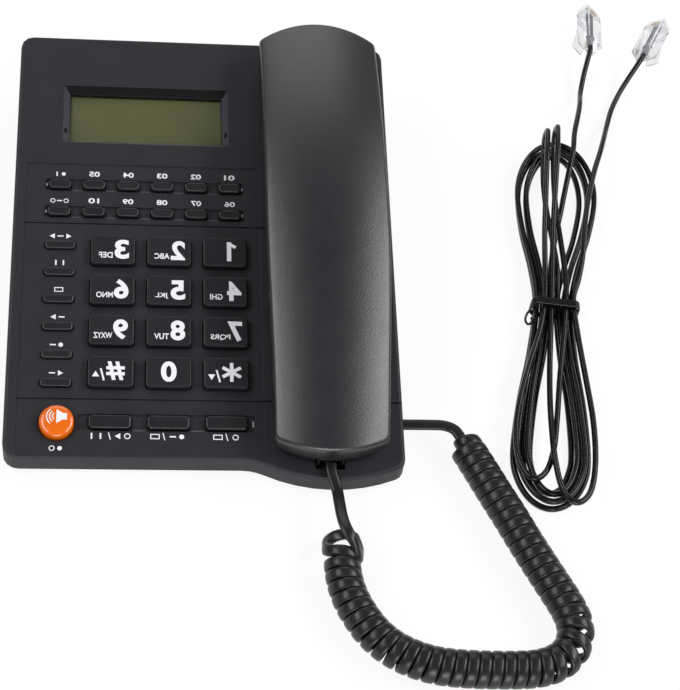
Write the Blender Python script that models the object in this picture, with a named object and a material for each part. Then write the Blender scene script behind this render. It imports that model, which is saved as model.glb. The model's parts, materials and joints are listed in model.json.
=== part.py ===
"""Desk telephone with a caller display: base, keys, handset, curly cord and line cord, each piece a solid of its own.

X runs to the right and Y to the back, the telephone stands on Z = 0, and the origin is under the middle of the
base. The keypad side of the base is a panel that slopes up to the back. Pieces on the panel are placed by three
sizes: x across, s up the slope from its front edge, and h square to it, with h = 0 on the panel's face.
"""
import math

import bmesh
import bpy
from mathutils import Matrix, Vector

MM = 0.001

# Fits that several pieces share
CLEARANCE = 0.3 * MM
CUT_OVERRUN = 2 * MM

# Keys and handset side by side across the panel, as shares of the base's width
BASE_WIDTH = 150 * MM
SIDE_KEY_MARGIN_SHARE = 0.086
SIDE_KEY_WIDTH_SHARE = 0.0774
SIDE_KEY_SPACE_SHARE = 0.0406
NUMBER_KEY_WIDTH_SHARE = 0.1147
NUMBER_KEY_SPACE_SHARE = 0.0306
HANDSET_WIDTH_SHARE = 0.32
HANDSET_MARGIN_SHARE = 0.0313
SIDE_KEY_MARGIN = BASE_WIDTH * SIDE_KEY_MARGIN_SHARE
SIDE_KEY_WIDTH = BASE_WIDTH * SIDE_KEY_WIDTH_SHARE
SIDE_KEY_SPACE = BASE_WIDTH * SIDE_KEY_SPACE_SHARE
NUMBER_KEY_WIDTH = BASE_WIDTH * NUMBER_KEY_WIDTH_SHARE
NUMBER_KEY_SPACE_X = BASE_WIDTH * NUMBER_KEY_SPACE_SHARE
HANDSET_WIDTH_BACK = BASE_WIDTH * HANDSET_WIDTH_SHARE
HANDSET_MARGIN = BASE_WIDTH * HANDSET_MARGIN_SHARE
KEY_FIELD_WIDTH = SIDE_KEY_WIDTH + SIDE_KEY_SPACE + 3 * NUMBER_KEY_WIDTH + 2 * NUMBER_KEY_SPACE_X
BASE_RIGHT = BASE_WIDTH / 2
KEY_FIELD_LEFT = -BASE_RIGHT + SIDE_KEY_MARGIN
KEY_FIELD_RIGHT = KEY_FIELD_LEFT + KEY_FIELD_WIDTH
HANDSET_X = BASE_RIGHT - HANDSET_MARGIN - HANDSET_WIDTH_BACK / 2

# Rows one behind the other up the panel, as shares of its length
PANEL_LENGTH = 190.6 * MM
FUNCTION_ROW_MARGIN_SHARE = 0.0614
FUNCTION_KEY_LENGTH_SHARE = 0.0283
FUNCTION_ROW_SPACE_SHARE = 0.0593
NUMBER_KEY_LENGTH_SHARE = 0.0661
NUMBER_KEY_SPACE_S_SHARE = 0.0268
MEMORY_ROW_SPACE_SHARE = 0.0522
MEMORY_KEY_LENGTH_SHARE = 0.0205
MEMORY_KEY_SPACE_S_SHARE = 0.0451
DISPLAY_SPACE_SHARE = 0.0942
DISPLAY_LENGTH_SHARE = 0.1469
FUNCTION_ROW_MARGIN = PANEL_LENGTH * FUNCTION_ROW_MARGIN_SHARE
FUNCTION_KEY_LENGTH = PANEL_LENGTH * FUNCTION_KEY_LENGTH_SHARE
FUNCTION_ROW_SPACE = PANEL_LENGTH * FUNCTION_ROW_SPACE_SHARE
NUMBER_KEY_LENGTH = PANEL_LENGTH * NUMBER_KEY_LENGTH_SHARE
NUMBER_KEY_SPACE_S = PANEL_LENGTH * NUMBER_KEY_SPACE_S_SHARE
MEMORY_ROW_SPACE = PANEL_LENGTH * MEMORY_ROW_SPACE_SHARE
MEMORY_KEY_LENGTH = PANEL_LENGTH * MEMORY_KEY_LENGTH_SHARE
MEMORY_KEY_SPACE_S = PANEL_LENGTH * MEMORY_KEY_SPACE_S_SHARE
DISPLAY_SPACE = PANEL_LENGTH * DISPLAY_SPACE_SHARE
DISPLAY_LENGTH = PANEL_LENGTH * DISPLAY_LENGTH_SHARE
NUMBER_KEYS_START = FUNCTION_ROW_MARGIN + FUNCTION_KEY_LENGTH + FUNCTION_ROW_SPACE
NUMBER_KEYS_END = NUMBER_KEYS_START + 4 * NUMBER_KEY_LENGTH + 3 * NUMBER_KEY_SPACE_S
MEMORY_KEYS_END = NUMBER_KEYS_END + MEMORY_ROW_SPACE + 2 * MEMORY_KEY_LENGTH + MEMORY_KEY_SPACE_S
DISPLAY_S = MEMORY_KEYS_END + DISPLAY_SPACE

# Base outline, seen from above: a rounded rectangle whose front edge swells out under the handset
PANEL_TILT = math.radians(7.5)
BASE_DEPTH = PANEL_LENGTH * math.cos(PANEL_TILT)
BULGE_REACH = 8 * MM
BULGE_RADIUS = 61 * MM
BULGE_OFFSET = 2.2 * MM
BULGE_RUN = 35 * MM
FRONT_CORNER_RADIUS = 6 * MM
BULGE_CORNER_RADIUS = 5 * MM
BACK_CORNER_RADIUS = 5 * MM
BACK_Y = (BASE_DEPTH + BULGE_REACH) / 2
FRONT_Y = BACK_Y - BASE_DEPTH

# Base section, seen from the side
SHELL_WALL = 2.2 * MM
TOP_EDGE_RADIUS = 1.2 * MM
FOOT_PROUD = 1 * MM
CASE_EDGE_HEIGHT = 1 * MM
CASE_EDGE_INSET = 0.6 * MM
CASE_EDGE_CHAMFER = 0.8 * MM
CASE_FLOOR = 2 * MM
CASE_RIM_HEIGHT = 1.6 * MM
CASE_RIM_WALL = 1.5 * MM
CASE_EDGE_TOP = FOOT_PROUD + CASE_EDGE_HEIGHT
CASE_FLOOR_TOP = FOOT_PROUD + CASE_FLOOR
COVER_BOTTOM = CASE_EDGE_TOP + CLEARANCE

# Layers under the panel, measured square to it: key flanges, rubber mat and circuit board
KEY_FLANGE_THICKNESS = 1 * MM
NUMBER_KEY_TRAVEL = 1.5 * MM
MEMORY_KEY_TRAVEL = 1 * MM
SIDE_KEY_TRAVEL = 1 * MM
FUNCTION_KEY_TRAVEL = 1 * MM
SPEAKER_KEY_TRAVEL = 1.2 * MM
MAT_DOME_HEIGHT = 0.6 * MM
MAT_DOME_RADIUS = 1.6 * MM
MAT_THICKNESS = 1 * MM
MAT_MARGIN = 2.2 * MM
BOARD_MARGIN_SIDE = 4.4 * MM
BOARD_MARGIN_END = 1 * MM
BOARD_THICKNESS = 1.6 * MM
BOARD_FLOOR_GAP = 0.4 * MM
FLANGE_TOP = -SHELL_WALL - CLEARANCE
FLANGE_BOTTOM = FLANGE_TOP - KEY_FLANGE_THICKNESS
LONGEST_TRAVEL = max(NUMBER_KEY_TRAVEL, MEMORY_KEY_TRAVEL, SIDE_KEY_TRAVEL, FUNCTION_KEY_TRAVEL,
                     SPEAKER_KEY_TRAVEL)
DOME_TOP = FLANGE_BOTTOM - LONGEST_TRAVEL - CLEARANCE
MAT_TOP = DOME_TOP - MAT_DOME_HEIGHT
MAT_BOTTOM = MAT_TOP - MAT_THICKNESS
BOARD_TOP = MAT_BOTTOM - CLEARANCE
BOARD_BOTTOM = BOARD_TOP - BOARD_THICKNESS
MAT_LEFT = KEY_FIELD_LEFT - MAT_MARGIN
MAT_RIGHT = KEY_FIELD_RIGHT + MAT_MARGIN
MAT_FRONT = FUNCTION_ROW_MARGIN - MAT_MARGIN
MAT_BACK = MEMORY_KEYS_END + MAT_MARGIN
BOARD_FRONT = MAT_FRONT - BOARD_MARGIN_END
PANEL_FRONT_HEIGHT = (CASE_FLOOR_TOP + BOARD_FLOOR_GAP - BOARD_BOTTOM * math.cos(PANEL_TILT)
                      - BOARD_FRONT * math.sin(PANEL_TILT))

# Posts of the cover that hold the board down, between the mat and the board's side edges
POST_RADIUS = 1.6 * MM
POST_INSET = 6.5 * MM
POST_X = (MAT_LEFT - CLEARANCE - POST_RADIUS, MAT_RIGHT + CLEARANCE + POST_RADIUS)
POST_S = (MAT_FRONT + POST_INSET, (MAT_FRONT + MAT_BACK) / 2, MAT_BACK - POST_INSET)

# Rubber feet, in pockets of the bottom case
FOOT_RADIUS = 5.5 * MM
FOOT_POCKET_DEPTH = 1 * MM
FOOT_INSET_X = 17 * MM
FOOT_INSET_FRONT = 18 * MM
FOOT_INSET_BACK = 16 * MM
FOOT_EDGE = 0.5 * MM

# Bottom case: screw wells, wall hooks and sound slots
SCREW_WELL_RADIUS = 3.5 * MM
SCREW_WELL_DEPTH = 1.2 * MM
SCREW_INSET_X = 36 * MM
SCREW_INSET_Y = 12 * MM
KEYHOLE_RADIUS = 4 * MM
KEYHOLE_SLOT_WIDTH = 4 * MM
KEYHOLE_SLOT_LENGTH = 9 * MM
KEYHOLE_SPACING = 80 * MM
KEYHOLE_INSET_Y = 76.5 * MM
KEYHOLE_Y = BACK_Y - KEYHOLE_INSET_Y
SPEAKER_X = -30 * MM
SPEAKER_INSET_Y = 43.5 * MM
SPEAKER_Y = BACK_Y - SPEAKER_INSET_Y
SPEAKER_RADIUS = 18 * MM
SPEAKER_RIM_HEIGHT = 2.4 * MM
SPEAKER_MAGNET_RADIUS = 9 * MM
SPEAKER_MAGNET_HEIGHT = 5 * MM
SPEAKER_CONE_RADIUS = 15 * MM
SPEAKER_CONE_DEPTH = 1.4 * MM
SOUND_SLOT_WIDTH = 1.8 * MM
SOUND_SLOT_PITCH = 4.2 * MM
SOUND_SLOT_COUNT = 7

# Panel surface: a sunken field at the left and two grooves across it
FIELD_MARGIN_LEFT = 8.4 * MM
FIELD_MARGIN_RIGHT = 5.6 * MM
FIELD_MARGIN_TOP = 8.05 * MM
FIELD_LEFT = KEY_FIELD_LEFT - FIELD_MARGIN_LEFT
FIELD_RIGHT = KEY_FIELD_RIGHT + FIELD_MARGIN_RIGHT
FIELD_TOP = MEMORY_KEYS_END + FIELD_MARGIN_TOP
FIELD_DEPTH = 0.4 * MM
GROOVE_OFFSET_FRONT = 4.5 * MM
GROOVE_OFFSET_BACK = 6.5 * MM
GROOVE_S = (NUMBER_KEYS_START - GROOVE_OFFSET_FRONT, NUMBER_KEYS_END + GROOVE_OFFSET_BACK)
GROOVE_WIDTH = 0.7 * MM
GROOVE_DEPTH = 0.6 * MM

# Display: a bevelled frame sunk in the panel, a clear window under it and the display module
DISPLAY_MARGIN_LEFT = 5.1 * MM
DISPLAY_MARGIN_RIGHT = 6.4 * MM
DISPLAY_LEFT = KEY_FIELD_LEFT + DISPLAY_MARGIN_LEFT
DISPLAY_WIDTH = KEY_FIELD_WIDTH - DISPLAY_MARGIN_LEFT - DISPLAY_MARGIN_RIGHT
DISPLAY_BEVEL = 2.7 * MM
DISPLAY_DEPTH = 3 * MM
DISPLAY_BORDER = 2.5 * MM
WINDOW_MARGIN = 1.8 * MM
WINDOW_THICKNESS = 1.2 * MM
MODULE_MARGIN = 2.4 * MM
MODULE_THICKNESS = 3 * MM

# Keys: heights over the panel, corners, flanges and places of each kind
KEY_EDGE = 0.5 * MM
NUMBER_KEY_HEIGHT = 2.2 * MM
NUMBER_KEY_RADIUS = 1.2 * MM
NUMBER_KEY_FLANGE = 1.1 * MM
KEY_STEP_X = NUMBER_KEY_WIDTH + NUMBER_KEY_SPACE_X
KEY_COLUMN_X = KEY_FIELD_RIGHT - NUMBER_KEY_WIDTH / 2 - 2 * KEY_STEP_X
NUMBER_KEY_S = NUMBER_KEYS_START + NUMBER_KEY_LENGTH / 2
NUMBER_KEY_STEP_S = NUMBER_KEY_LENGTH + NUMBER_KEY_SPACE_S

MEMORY_KEY_WIDTH = 8.8 * MM
MEMORY_KEY_HEIGHT = 0.9 * MM
MEMORY_KEY_RADIUS = 1 * MM
MEMORY_KEY_FLANGE = 0.8 * MM
MEMORY_MARGIN_LEFT = 0.5 * MM
MEMORY_MARGIN_RIGHT = 1.95 * MM
MEMORY_KEY_X = KEY_FIELD_LEFT + MEMORY_MARGIN_LEFT + MEMORY_KEY_WIDTH / 2
MEMORY_KEY_STEP_X = (KEY_FIELD_WIDTH - MEMORY_MARGIN_LEFT - MEMORY_MARGIN_RIGHT - MEMORY_KEY_WIDTH) / 5
MEMORY_KEY_S = MEMORY_KEYS_END - MEMORY_KEY_LENGTH / 2
MEMORY_KEY_STEP_S = MEMORY_KEY_LENGTH + MEMORY_KEY_SPACE_S
MEMORY_CHANNEL_MARGIN = 1.3 * MM

SIDE_KEY_LENGTH = 3.4 * MM
SIDE_KEY_HEIGHT = 0.9 * MM
SIDE_KEY_RADIUS = 0.8 * MM
SIDE_KEY_FLANGE = 0.8 * MM
SIDE_KEY_INSET = 2 * MM
SIDE_KEY_X = KEY_FIELD_LEFT + SIDE_KEY_WIDTH / 2
SIDE_KEY_S = NUMBER_KEYS_END - SIDE_KEY_INSET - SIDE_KEY_LENGTH / 2
SIDE_KEY_STEP_S = (SIDE_KEY_S - NUMBER_KEYS_START - SIDE_KEY_INSET) / 5

FUNCTION_KEY_TRIM = 1.5 * MM
FUNCTION_KEY_WIDTH = NUMBER_KEY_WIDTH - FUNCTION_KEY_TRIM
FUNCTION_KEY_HEIGHT = 0.9 * MM
FUNCTION_KEY_RADIUS = 1 * MM
FUNCTION_KEY_FLANGE = 0.9 * MM
FUNCTION_KEY_S = FUNCTION_ROW_MARGIN + FUNCTION_KEY_LENGTH / 2
FUNCTION_CHANNEL_MARGIN_LEFT = 4.3 * MM
FUNCTION_CHANNEL_MARGIN_RIGHT = 2.8 * MM
CHANNEL_MARGIN = 0.8 * MM
CHANNEL_DEPTH = 1.3 * MM

SPEAKER_KEY_RADIUS = 6.45 * MM
SPEAKER_KEY_HEIGHT = 3.2 * MM
SPEAKER_KEY_DOME = 1.5 * MM
SPEAKER_KEY_FLANGE = 1.4 * MM
SPEAKER_KEY_GAP = 0.7 * MM
SPEAKER_KEY_INSET = 6.7 * MM
SPEAKER_KEY_X = KEY_FIELD_LEFT + SPEAKER_KEY_INSET
SPEAKER_KEY_S = FUNCTION_KEY_S - SPEAKER_KEY_GAP

# Handset: its outline along the panel, its arched seam and its hollow shells
HANDSET_OVERHANG = 2.5 * MM
HANDSET_BACK_MARGIN = 0.1 * MM
HANDSET_START_S = -HANDSET_OVERHANG
HANDSET_LENGTH = PANEL_LENGTH + HANDSET_OVERHANG - HANDSET_BACK_MARGIN
HANDSET_WIDTH_TAPER = 4.8 * MM
HANDSET_WIDTH_FRONT = HANDSET_WIDTH_BACK - HANDSET_WIDTH_TAPER
HANDSET_END_RADIUS = 42 * MM
HANDSET_CORNER_RADIUS = 3 * MM
HANDSET_WALL = 2 * MM
SEAM_FRONT = 6.4 * MM
SEAM_BACK = 8.6 * MM
SEAM_RISE = 15 * MM
SEAM_STEP = 0.35 * MM
CROWN_CAMBER = 4.5 * MM
CROWN_THICKNESS = 2.6 * MM
CROWN_EDGE = 1.2 * MM
BLOCK_HEIGHT = 0.8 * MM
GRIP_HEIGHT = 14 * MM
GRIP_START = 42 * MM
GRIP_BLEND = 26 * MM
GRIP_EDGE = 3.2 * MM
CAP_MARGIN = 7.6 * MM
CAP_WIDTH = HANDSET_WIDTH_FRONT - 2 * CAP_MARGIN
CAP_LENGTH = 31 * MM
CAP_INSET = 5.5 * MM
CAP_CORNER_RADIUS = 4.4 * MM
SOUND_HOLE_RADIUS = 1 * MM
SOUND_RING_RADIUS = 6 * MM
MOUTH_CAP_S = HANDSET_START_S + CAP_INSET
EAR_CAP_S = HANDSET_START_S + HANDSET_LENGTH - CAP_INSET - CAP_LENGTH

# Wells that the two caps of the handset sit in
WELL_WALL = 1.5 * MM
WELL_GAP = 0.6 * MM
WELL_CORNER_RADIUS = 5 * MM
EAR_WELL_DEPTH = 6 * MM
MOUTH_WELL_DEPTH = 4.2 * MM
WELL_NOTCH_REACH = 6.4 * MM

# Hook switch, a plunger in the floor of the ear well
HOOK_WIDTH = 6 * MM
HOOK_LENGTH = 4 * MM
HOOK_TRAVEL = 3 * MM
HOOK_FLANGE = 1.2 * MM
HOOK_FLANGE_THICKNESS = 1.2 * MM
HOOK_INSET = 7.5 * MM
HOOK_S = EAR_CAP_S + HOOK_INSET

# Pieces inside the handset
RECEIVER_RADIUS = 13 * MM
RECEIVER_HEIGHT = 6 * MM
MICROPHONE_RADIUS = 4.8 * MM
MICROPHONE_HEIGHT = 5 * MM
MICROPHONE_OFFSET = 8 * MM

# Modular plugs and jacks: the narrow ones are the handset cord's, the wide ones the line cord's
NARROW_PLUG_WIDTH = 7.65 * MM
NARROW_PLUG_HEIGHT = 5.4 * MM
NARROW_PLUG_LENGTH = 11 * MM
JACK_WALL = 0.45 * MM
JACK_SIDE_WALL = 0.8 * MM
JACK_BACK_WALL = 0.7 * MM
PLUG_NOSE_LENGTH = 3 * MM
PLUG_NOSE_STEP = 0.5 * MM
HANDSET_PLUG_H = 1.2 * MM
HANDSET_CORD_H = 1.9 * MM
HANDSET_JACK_RECESS = 0.5 * MM
SIDE_JACK_INSET = 18.7 * MM
SIDE_JACK_Y = FRONT_Y + SIDE_JACK_INSET
LINE_JACK_X = -35 * MM
LINE_JACK_WIDTH = 13 * MM
LINE_JACK_DEPTH = 14 * MM
LINE_JACK_HEIGHT = 11.6 * MM
LINE_SOCKET_WIDTH = 10.1 * MM
LINE_SOCKET_HEIGHT = 7 * MM
LINE_SOCKET_DEPTH = 11.5 * MM
LATCH_SLOT_WIDTH = 6.6 * MM
LATCH_SLOT_HEIGHT = 1.5 * MM
LINE_SOCKET_LIFT = 2.6 * MM
LINE_PLUG_WIDTH = 9.65 * MM
LINE_PLUG_HEIGHT = 6.6 * MM
LINE_PLUG_LENGTH = 25 * MM
LATCH_WIDTH = 6 * MM
LATCH_THICKNESS = 0.9 * MM
LATCH_ROOT = 8 * MM
LATCH_LENGTH = 14.5 * MM
LATCH_SPREAD = 4 * MM
NARROW_JACK_WIDTH = NARROW_PLUG_WIDTH + 2 * (CLEARANCE + JACK_SIDE_WALL)
NARROW_JACK_HEIGHT = NARROW_PLUG_HEIGHT + 2 * (CLEARANCE + JACK_WALL)
NARROW_JACK_DEPTH = NARROW_PLUG_LENGTH + CLEARANCE + JACK_BACK_WALL
SIDE_JACK_BOTTOM = CASE_FLOOR_TOP + CLEARANCE
SIDE_JACK_Z = SIDE_JACK_BOTTOM + NARROW_JACK_HEIGHT / 2

# Curly cord: a helix whose axis lies on the table, with a straight tail to each plug; its route is given
# from the corner where the front edge and the right side of the base meet
CURL_STRAND = 2.6 * MM
CURL_OUTER_RADIUS = 7 * MM
CURL_PITCH = 4.4 * MM
CURL_OPEN_PITCH = 6.4 * MM
CURL_OPEN_REACH = 15 * MM
CURL_POINTS_PER_TURN = 9
CURL_REST_GAP = 0.05 * MM
CURL_AXIS_Z = CURL_OUTER_RADIUS + CURL_REST_GAP
CURL_AXIS = [
    (-25.4, -34.1), (-25.9, -39.5), (-25.8, -45.5), (-25, -51.1), (-23.3, -56.9), (-20.6, -62.7), (-17.2, -68.3),
    (-13.4, -72.7), (-9, -76.3), (-4, -79.1), (1.8, -81.4), (8.4, -82.9), (16.1, -83.7), (25.4, -84.1),
    (35, -84.1), (42.6, -83.4), (49.2, -81.1), (54.3, -76.7), (56.9, -70.7), (56.9, -64.3), (54.5, -57.3),
    (50.7, -49.2), (46.4, -40.1), (42.1, -30.7), (37.9, -21.1), (33.5, -11.6), (29.2, -1.9), (25.2, 6.9),
    (23, 12.3),
]
CURL_OPEN_AT = (55.8, -74.1)
HANDSET_TAIL = [(-26.8, -12.3, 10.4), (-26.1, -17.7, 8.2), (-25.5, -22.9, 7.1), (-25.2, -28.3, 7)]
BASE_TAIL = [(20.6, 16.5, 7), (16.6, 18.4, 6.9), (11.4, 18.7, 6.8), (6.6, 18.7, 6.8)]

# Line cord: a hank of long loops held by a tie, with a tail to each plug; routes lie in the hank's own frame
LINE_STRAND = 2.4 * MM
HANK_SPACE = 67 * MM
HANK_X = BASE_RIGHT + HANK_SPACE
HANK_Y = -11 * MM
HANK_LEAN = math.radians(7.1)
HANK_TOP_LENGTH = 97 * MM
HANK_BOTTOM_LENGTH = 96 * MM
HANK_TOP_WIDTH = 17.4 * MM
HANK_BOTTOM_WIDTH = 15.6 * MM
HANK_TOP_FOLD = 30 * MM
HANK_BOTTOM_FOLD = 24 * MM
HANK_TOP_SHIFT = 1.4 * MM
HANK_WAIST = 8 * MM
HANK_STEP = 2.9 * MM
HANK_LOBE_STEP = 3.35 * MM
HANK_LAYER_STEP = 2.85 * MM
HANK_LAYER_SHIFT = 0.7 * MM
HANK_WAIST_LIFT = 1.3 * MM
HANK_LOOPS_PER_LAYER = 2
HANK_LAYERS = 3
HANK_POINTS_PER_QUARTER = 6
TIE_LENGTH = 3.2 * MM
TIE_THICKNESS = 0.8 * MM
LINE_TAIL_A = [(13.9, 131, 6), (12.6, 121, 3.6), (11.3, 109.4, 8), (9.9, 100, 10.2), (8.4, 90, 10.4), (6.8, 80, 10.3),
               (5, 70, 9), (3.4, 60, 6.8), (2, 49.6, 4.4), (0.7, 36, 2.8), (-0.3, 20, 2.7)]
LINE_TAIL_B = [(10.1, 11, 8.5), (11.6, 22, 10), (12.2, 34, 10.7), (13.2, 46, 10.7), (14.8, 58, 10.6), (17, 70, 10.5),
               (19.6, 81, 9.8), (21.8, 91, 7), (24.2, 102.5, 3.4), (27, 115, 2.4), (31.6, 127, 3.6)]
LINE_PLUG_A = (16.06, 157.3, 7.6)
LINE_PLUG_B = (44.72, 155.53, 7.6)
LINE_PLUG_A_TURN = math.radians(-0.4)
LINE_PLUG_B_TURN = math.radians(-20.1)
LINE_PLUG_ROLL = math.radians(40)
LINE_PLUG_PITCH = math.radians(-7)

# Rounding steps
CORNER_STEPS = 3
BULGE_STEPS = 8
ROUND_STEPS = 24


def clear_scene():
    """Take away whatever the file already holds."""
    for obj in list(bpy.data.objects):
        bpy.data.objects.remove(obj, do_unlink=True)


def make_material(name, colour, roughness, metallic=0.0, alpha=1.0):
    """A Principled material of one colour."""
    material = bpy.data.materials.new(name)
    material.use_nodes = True
    shader = material.node_tree.nodes["Principled BSDF"]
    shader.inputs["Base Color"].default_value = (*colour, 1.0)
    shader.inputs["Roughness"].default_value = roughness
    shader.inputs["Metallic"].default_value = metallic
    shader.inputs["Alpha"].default_value = alpha
    material.diffuse_color = (*colour, alpha)
    return material


def make_object(name, bm, material=None, parent=None, location=None, smooth_angle=math.radians(35)):
    """Turn a mesh in the making into a named object, with round stretches shaded smooth."""
    bmesh.ops.recalc_face_normals(bm, faces=bm.faces)
    mesh = bpy.data.meshes.new(name)
    bm.to_mesh(mesh)
    bm.free()
    obj = bpy.data.objects.new(name, mesh)
    bpy.context.scene.collection.objects.link(obj)
    if material:
        mesh.materials.append(material)
        mesh.shade_smooth()
        mesh.set_sharp_from_angle(angle=smooth_angle)
    if parent:
        obj.parent = parent
    if location:
        obj.location = location
    return obj


def make_cutter(name, bm, parent=None):
    """A guide solid that a Boolean reads and nothing else shows."""
    obj = make_object(name, bm, parent=parent)
    obj.hide_render = True
    obj.display_type = "WIRE"
    return obj


def combine(target, other, operation):
    """Add or take away another solid."""
    modifier = target.modifiers.new(other.name, "BOOLEAN")
    modifier.operation = operation
    modifier.solver = "EXACT"
    modifier.object = other


def arc(centre, radius, start, end, steps):
    """Points along an arc, from one angle to another, both ends included."""
    points = []
    for k in range(steps + 1):
        angle = start + (end - start) * k / steps
        points.append((centre[0] + radius * math.cos(angle), centre[1] + radius * math.sin(angle)))
    return points


def rounded_rectangle(left, right, front, back, radius, steps=CORNER_STEPS):
    """Outline of a rectangle with round corners, anticlockwise."""
    quarter = math.pi / 2
    corners = [
        ((left + radius, front + radius), 2 * quarter),
        ((right - radius, front + radius), 3 * quarter),
        ((right - radius, back - radius), 0),
        ((left + radius, back - radius), quarter),
    ]
    points = []
    for centre, start in corners:
        points += arc(centre, radius, start, start + quarter, steps)
    return points


def circle(centre, radius, steps=ROUND_STEPS):
    """Outline of a circle, anticlockwise."""
    return arc(centre, radius, 0, 2 * math.pi, steps)[:-1]


def loft(bm, rings):
    """Join closed rings of equal count one after another, and close the two ends."""
    loops = []
    for ring in rings:
        loops.append([bm.verts.new(point) for point in ring])
    count = len(loops[0])
    for low, high in zip(loops, loops[1:]):
        for k in range(count):
            following = (k + 1) % count
            bm.faces.new((low[k], low[following], high[following], high[k]))
    bm.faces.new(list(reversed(loops[0])))
    bm.faces.new(loops[-1])
    return loops


def prism(bm, outline, low, high):
    """An upright solid of one outline."""
    rings = []
    for height in (low, high):
        rings.append([(x, y, height) for x, y in outline])
    loft(bm, rings)


def box(bm, low, high):
    """A block between two corners."""
    outline = [(low[0], low[1]), (high[0], low[1]), (high[0], high[1]), (low[0], high[1])]
    prism(bm, outline, low[2], high[2])


def stack(bm, outline_at, levels):
    """A solid from outlines at rising heights; a level is the outline's growth and its height."""
    rings = []
    for grow, height in levels:
        rings.append([(x, y, height) for x, y in outline_at(grow)])
    loft(bm, rings)


def turned(bm, profile, steps=ROUND_STEPS):
    """A solid of revolution about Z; the profile is a list of radius and height, from bottom to top."""
    rings = []
    for radius, height in profile:
        rings.append([(x, y, height) for x, y in circle((0, 0), radius, steps)])
    loft(bm, rings)


def panel_matrix():
    """Place of the panel's frame: at the middle of its front edge, tilted up to the back."""
    place = Matrix.Translation((0, FRONT_Y, PANEL_FRONT_HEIGHT))
    return place @ Matrix.Rotation(PANEL_TILT, 4, "X")


def panel_height(y):
    """Height of the panel's face over the table."""
    return PANEL_FRONT_HEIGHT + (y - FRONT_Y) * math.tan(PANEL_TILT)


def on_panel(bm):
    """Move a mesh made in the panel's sizes to its place."""
    bm.transform(panel_matrix())


def base_outline(inset):
    """Outline of the base, every point set in by the same amount."""
    half = BASE_WIDTH / 2
    quarter = math.pi / 2
    blend_radius = (BULGE_RUN ** 2 + BULGE_REACH ** 2) / (2 * BULGE_REACH) - BULGE_RADIUS
    bulge_centre = (HANDSET_X + BULGE_OFFSET, FRONT_Y - BULGE_REACH + BULGE_RADIUS)
    blend_centre = (bulge_centre[0] - BULGE_RUN, FRONT_Y - blend_radius)
    turn = math.atan2(bulge_centre[1] - blend_centre[1], bulge_centre[0] - blend_centre[0])
    corner_x = half - BULGE_CORNER_RADIUS
    across = corner_x - bulge_centre[0]
    down = math.sqrt((BULGE_RADIUS - BULGE_CORNER_RADIUS) ** 2 - across * across)
    corner_centre = (corner_x, bulge_centre[1] - down)
    corner_turn = math.atan2(-down, across)
    front_left = (-half + FRONT_CORNER_RADIUS, FRONT_Y + FRONT_CORNER_RADIUS)
    back_right = (half - BACK_CORNER_RADIUS, BACK_Y - BACK_CORNER_RADIUS)
    back_left = (-half + BACK_CORNER_RADIUS, BACK_Y - BACK_CORNER_RADIUS)
    points = arc(front_left, FRONT_CORNER_RADIUS - inset, 2 * quarter, 3 * quarter, CORNER_STEPS + 1)
    points += arc(blend_centre, blend_radius + inset, quarter, turn, CORNER_STEPS)
    points += arc(bulge_centre, BULGE_RADIUS - inset, turn - math.pi, corner_turn, BULGE_STEPS)[1:]
    points += arc(corner_centre, BULGE_CORNER_RADIUS - inset, corner_turn, 0, CORNER_STEPS)[1:]
    points += arc(back_right, BACK_CORNER_RADIUS - inset, 0, quarter, CORNER_STEPS)
    points += arc(back_left, BACK_CORNER_RADIUS - inset, quarter, 2 * quarter, CORNER_STEPS)
    return points


def level_ring(inset, height):
    """Ring of the base's outline at one height."""
    return [(x, y, height) for x, y in base_outline(inset)]


def sloping_ring(inset, drop):
    """Ring of the base's outline a given depth under the panel's face."""
    return [(x, y, panel_height(y) - drop) for x, y in base_outline(inset)]


def key_outline(width, length, radius):
    """Outline of a key as a function of how far it is grown; long keys have the rounder corners."""
    steps = 2 if length > KEY_STEP_X / 2 else 1

    def at(grow):
        half_w, half_l = width / 2 + grow, length / 2 + grow
        return rounded_rectangle(-half_w, half_w, -half_l, half_l, max(radius + grow, radius / 2), steps)
    return at


def key_places():
    """Every straight-sided key: its name, kind, place on the panel and the height of the face it stands in."""
    places = []
    numbers = (("key_hash", "key_0", "key_star"), ("key_9", "key_8", "key_7"),
               ("key_6", "key_5", "key_4"), ("key_3", "key_2", "key_1"))
    for row, names in enumerate(numbers):
        for column, name in enumerate(names):
            x = KEY_COLUMN_X + column * KEY_STEP_X
            places.append((name, "number", x, NUMBER_KEY_S + row * NUMBER_KEY_STEP_S))
    for row in range(2):
        for column in range(6):
            x = MEMORY_KEY_X + column * MEMORY_KEY_STEP_X
            name = "memory_key_%02d" % (row * 6 + column + 1)
            places.append((name, "memory", x, MEMORY_KEY_S - row * MEMORY_KEY_STEP_S))
    for row in range(6):
        places.append(("side_key_%d" % (row + 1), "side", SIDE_KEY_X, SIDE_KEY_S - row * SIDE_KEY_STEP_S))
    for column in range(3):
        x = KEY_COLUMN_X + column * KEY_STEP_X
        places.append(("function_key_%d" % (column + 1), "function", x, FUNCTION_KEY_S))
    return places


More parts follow.
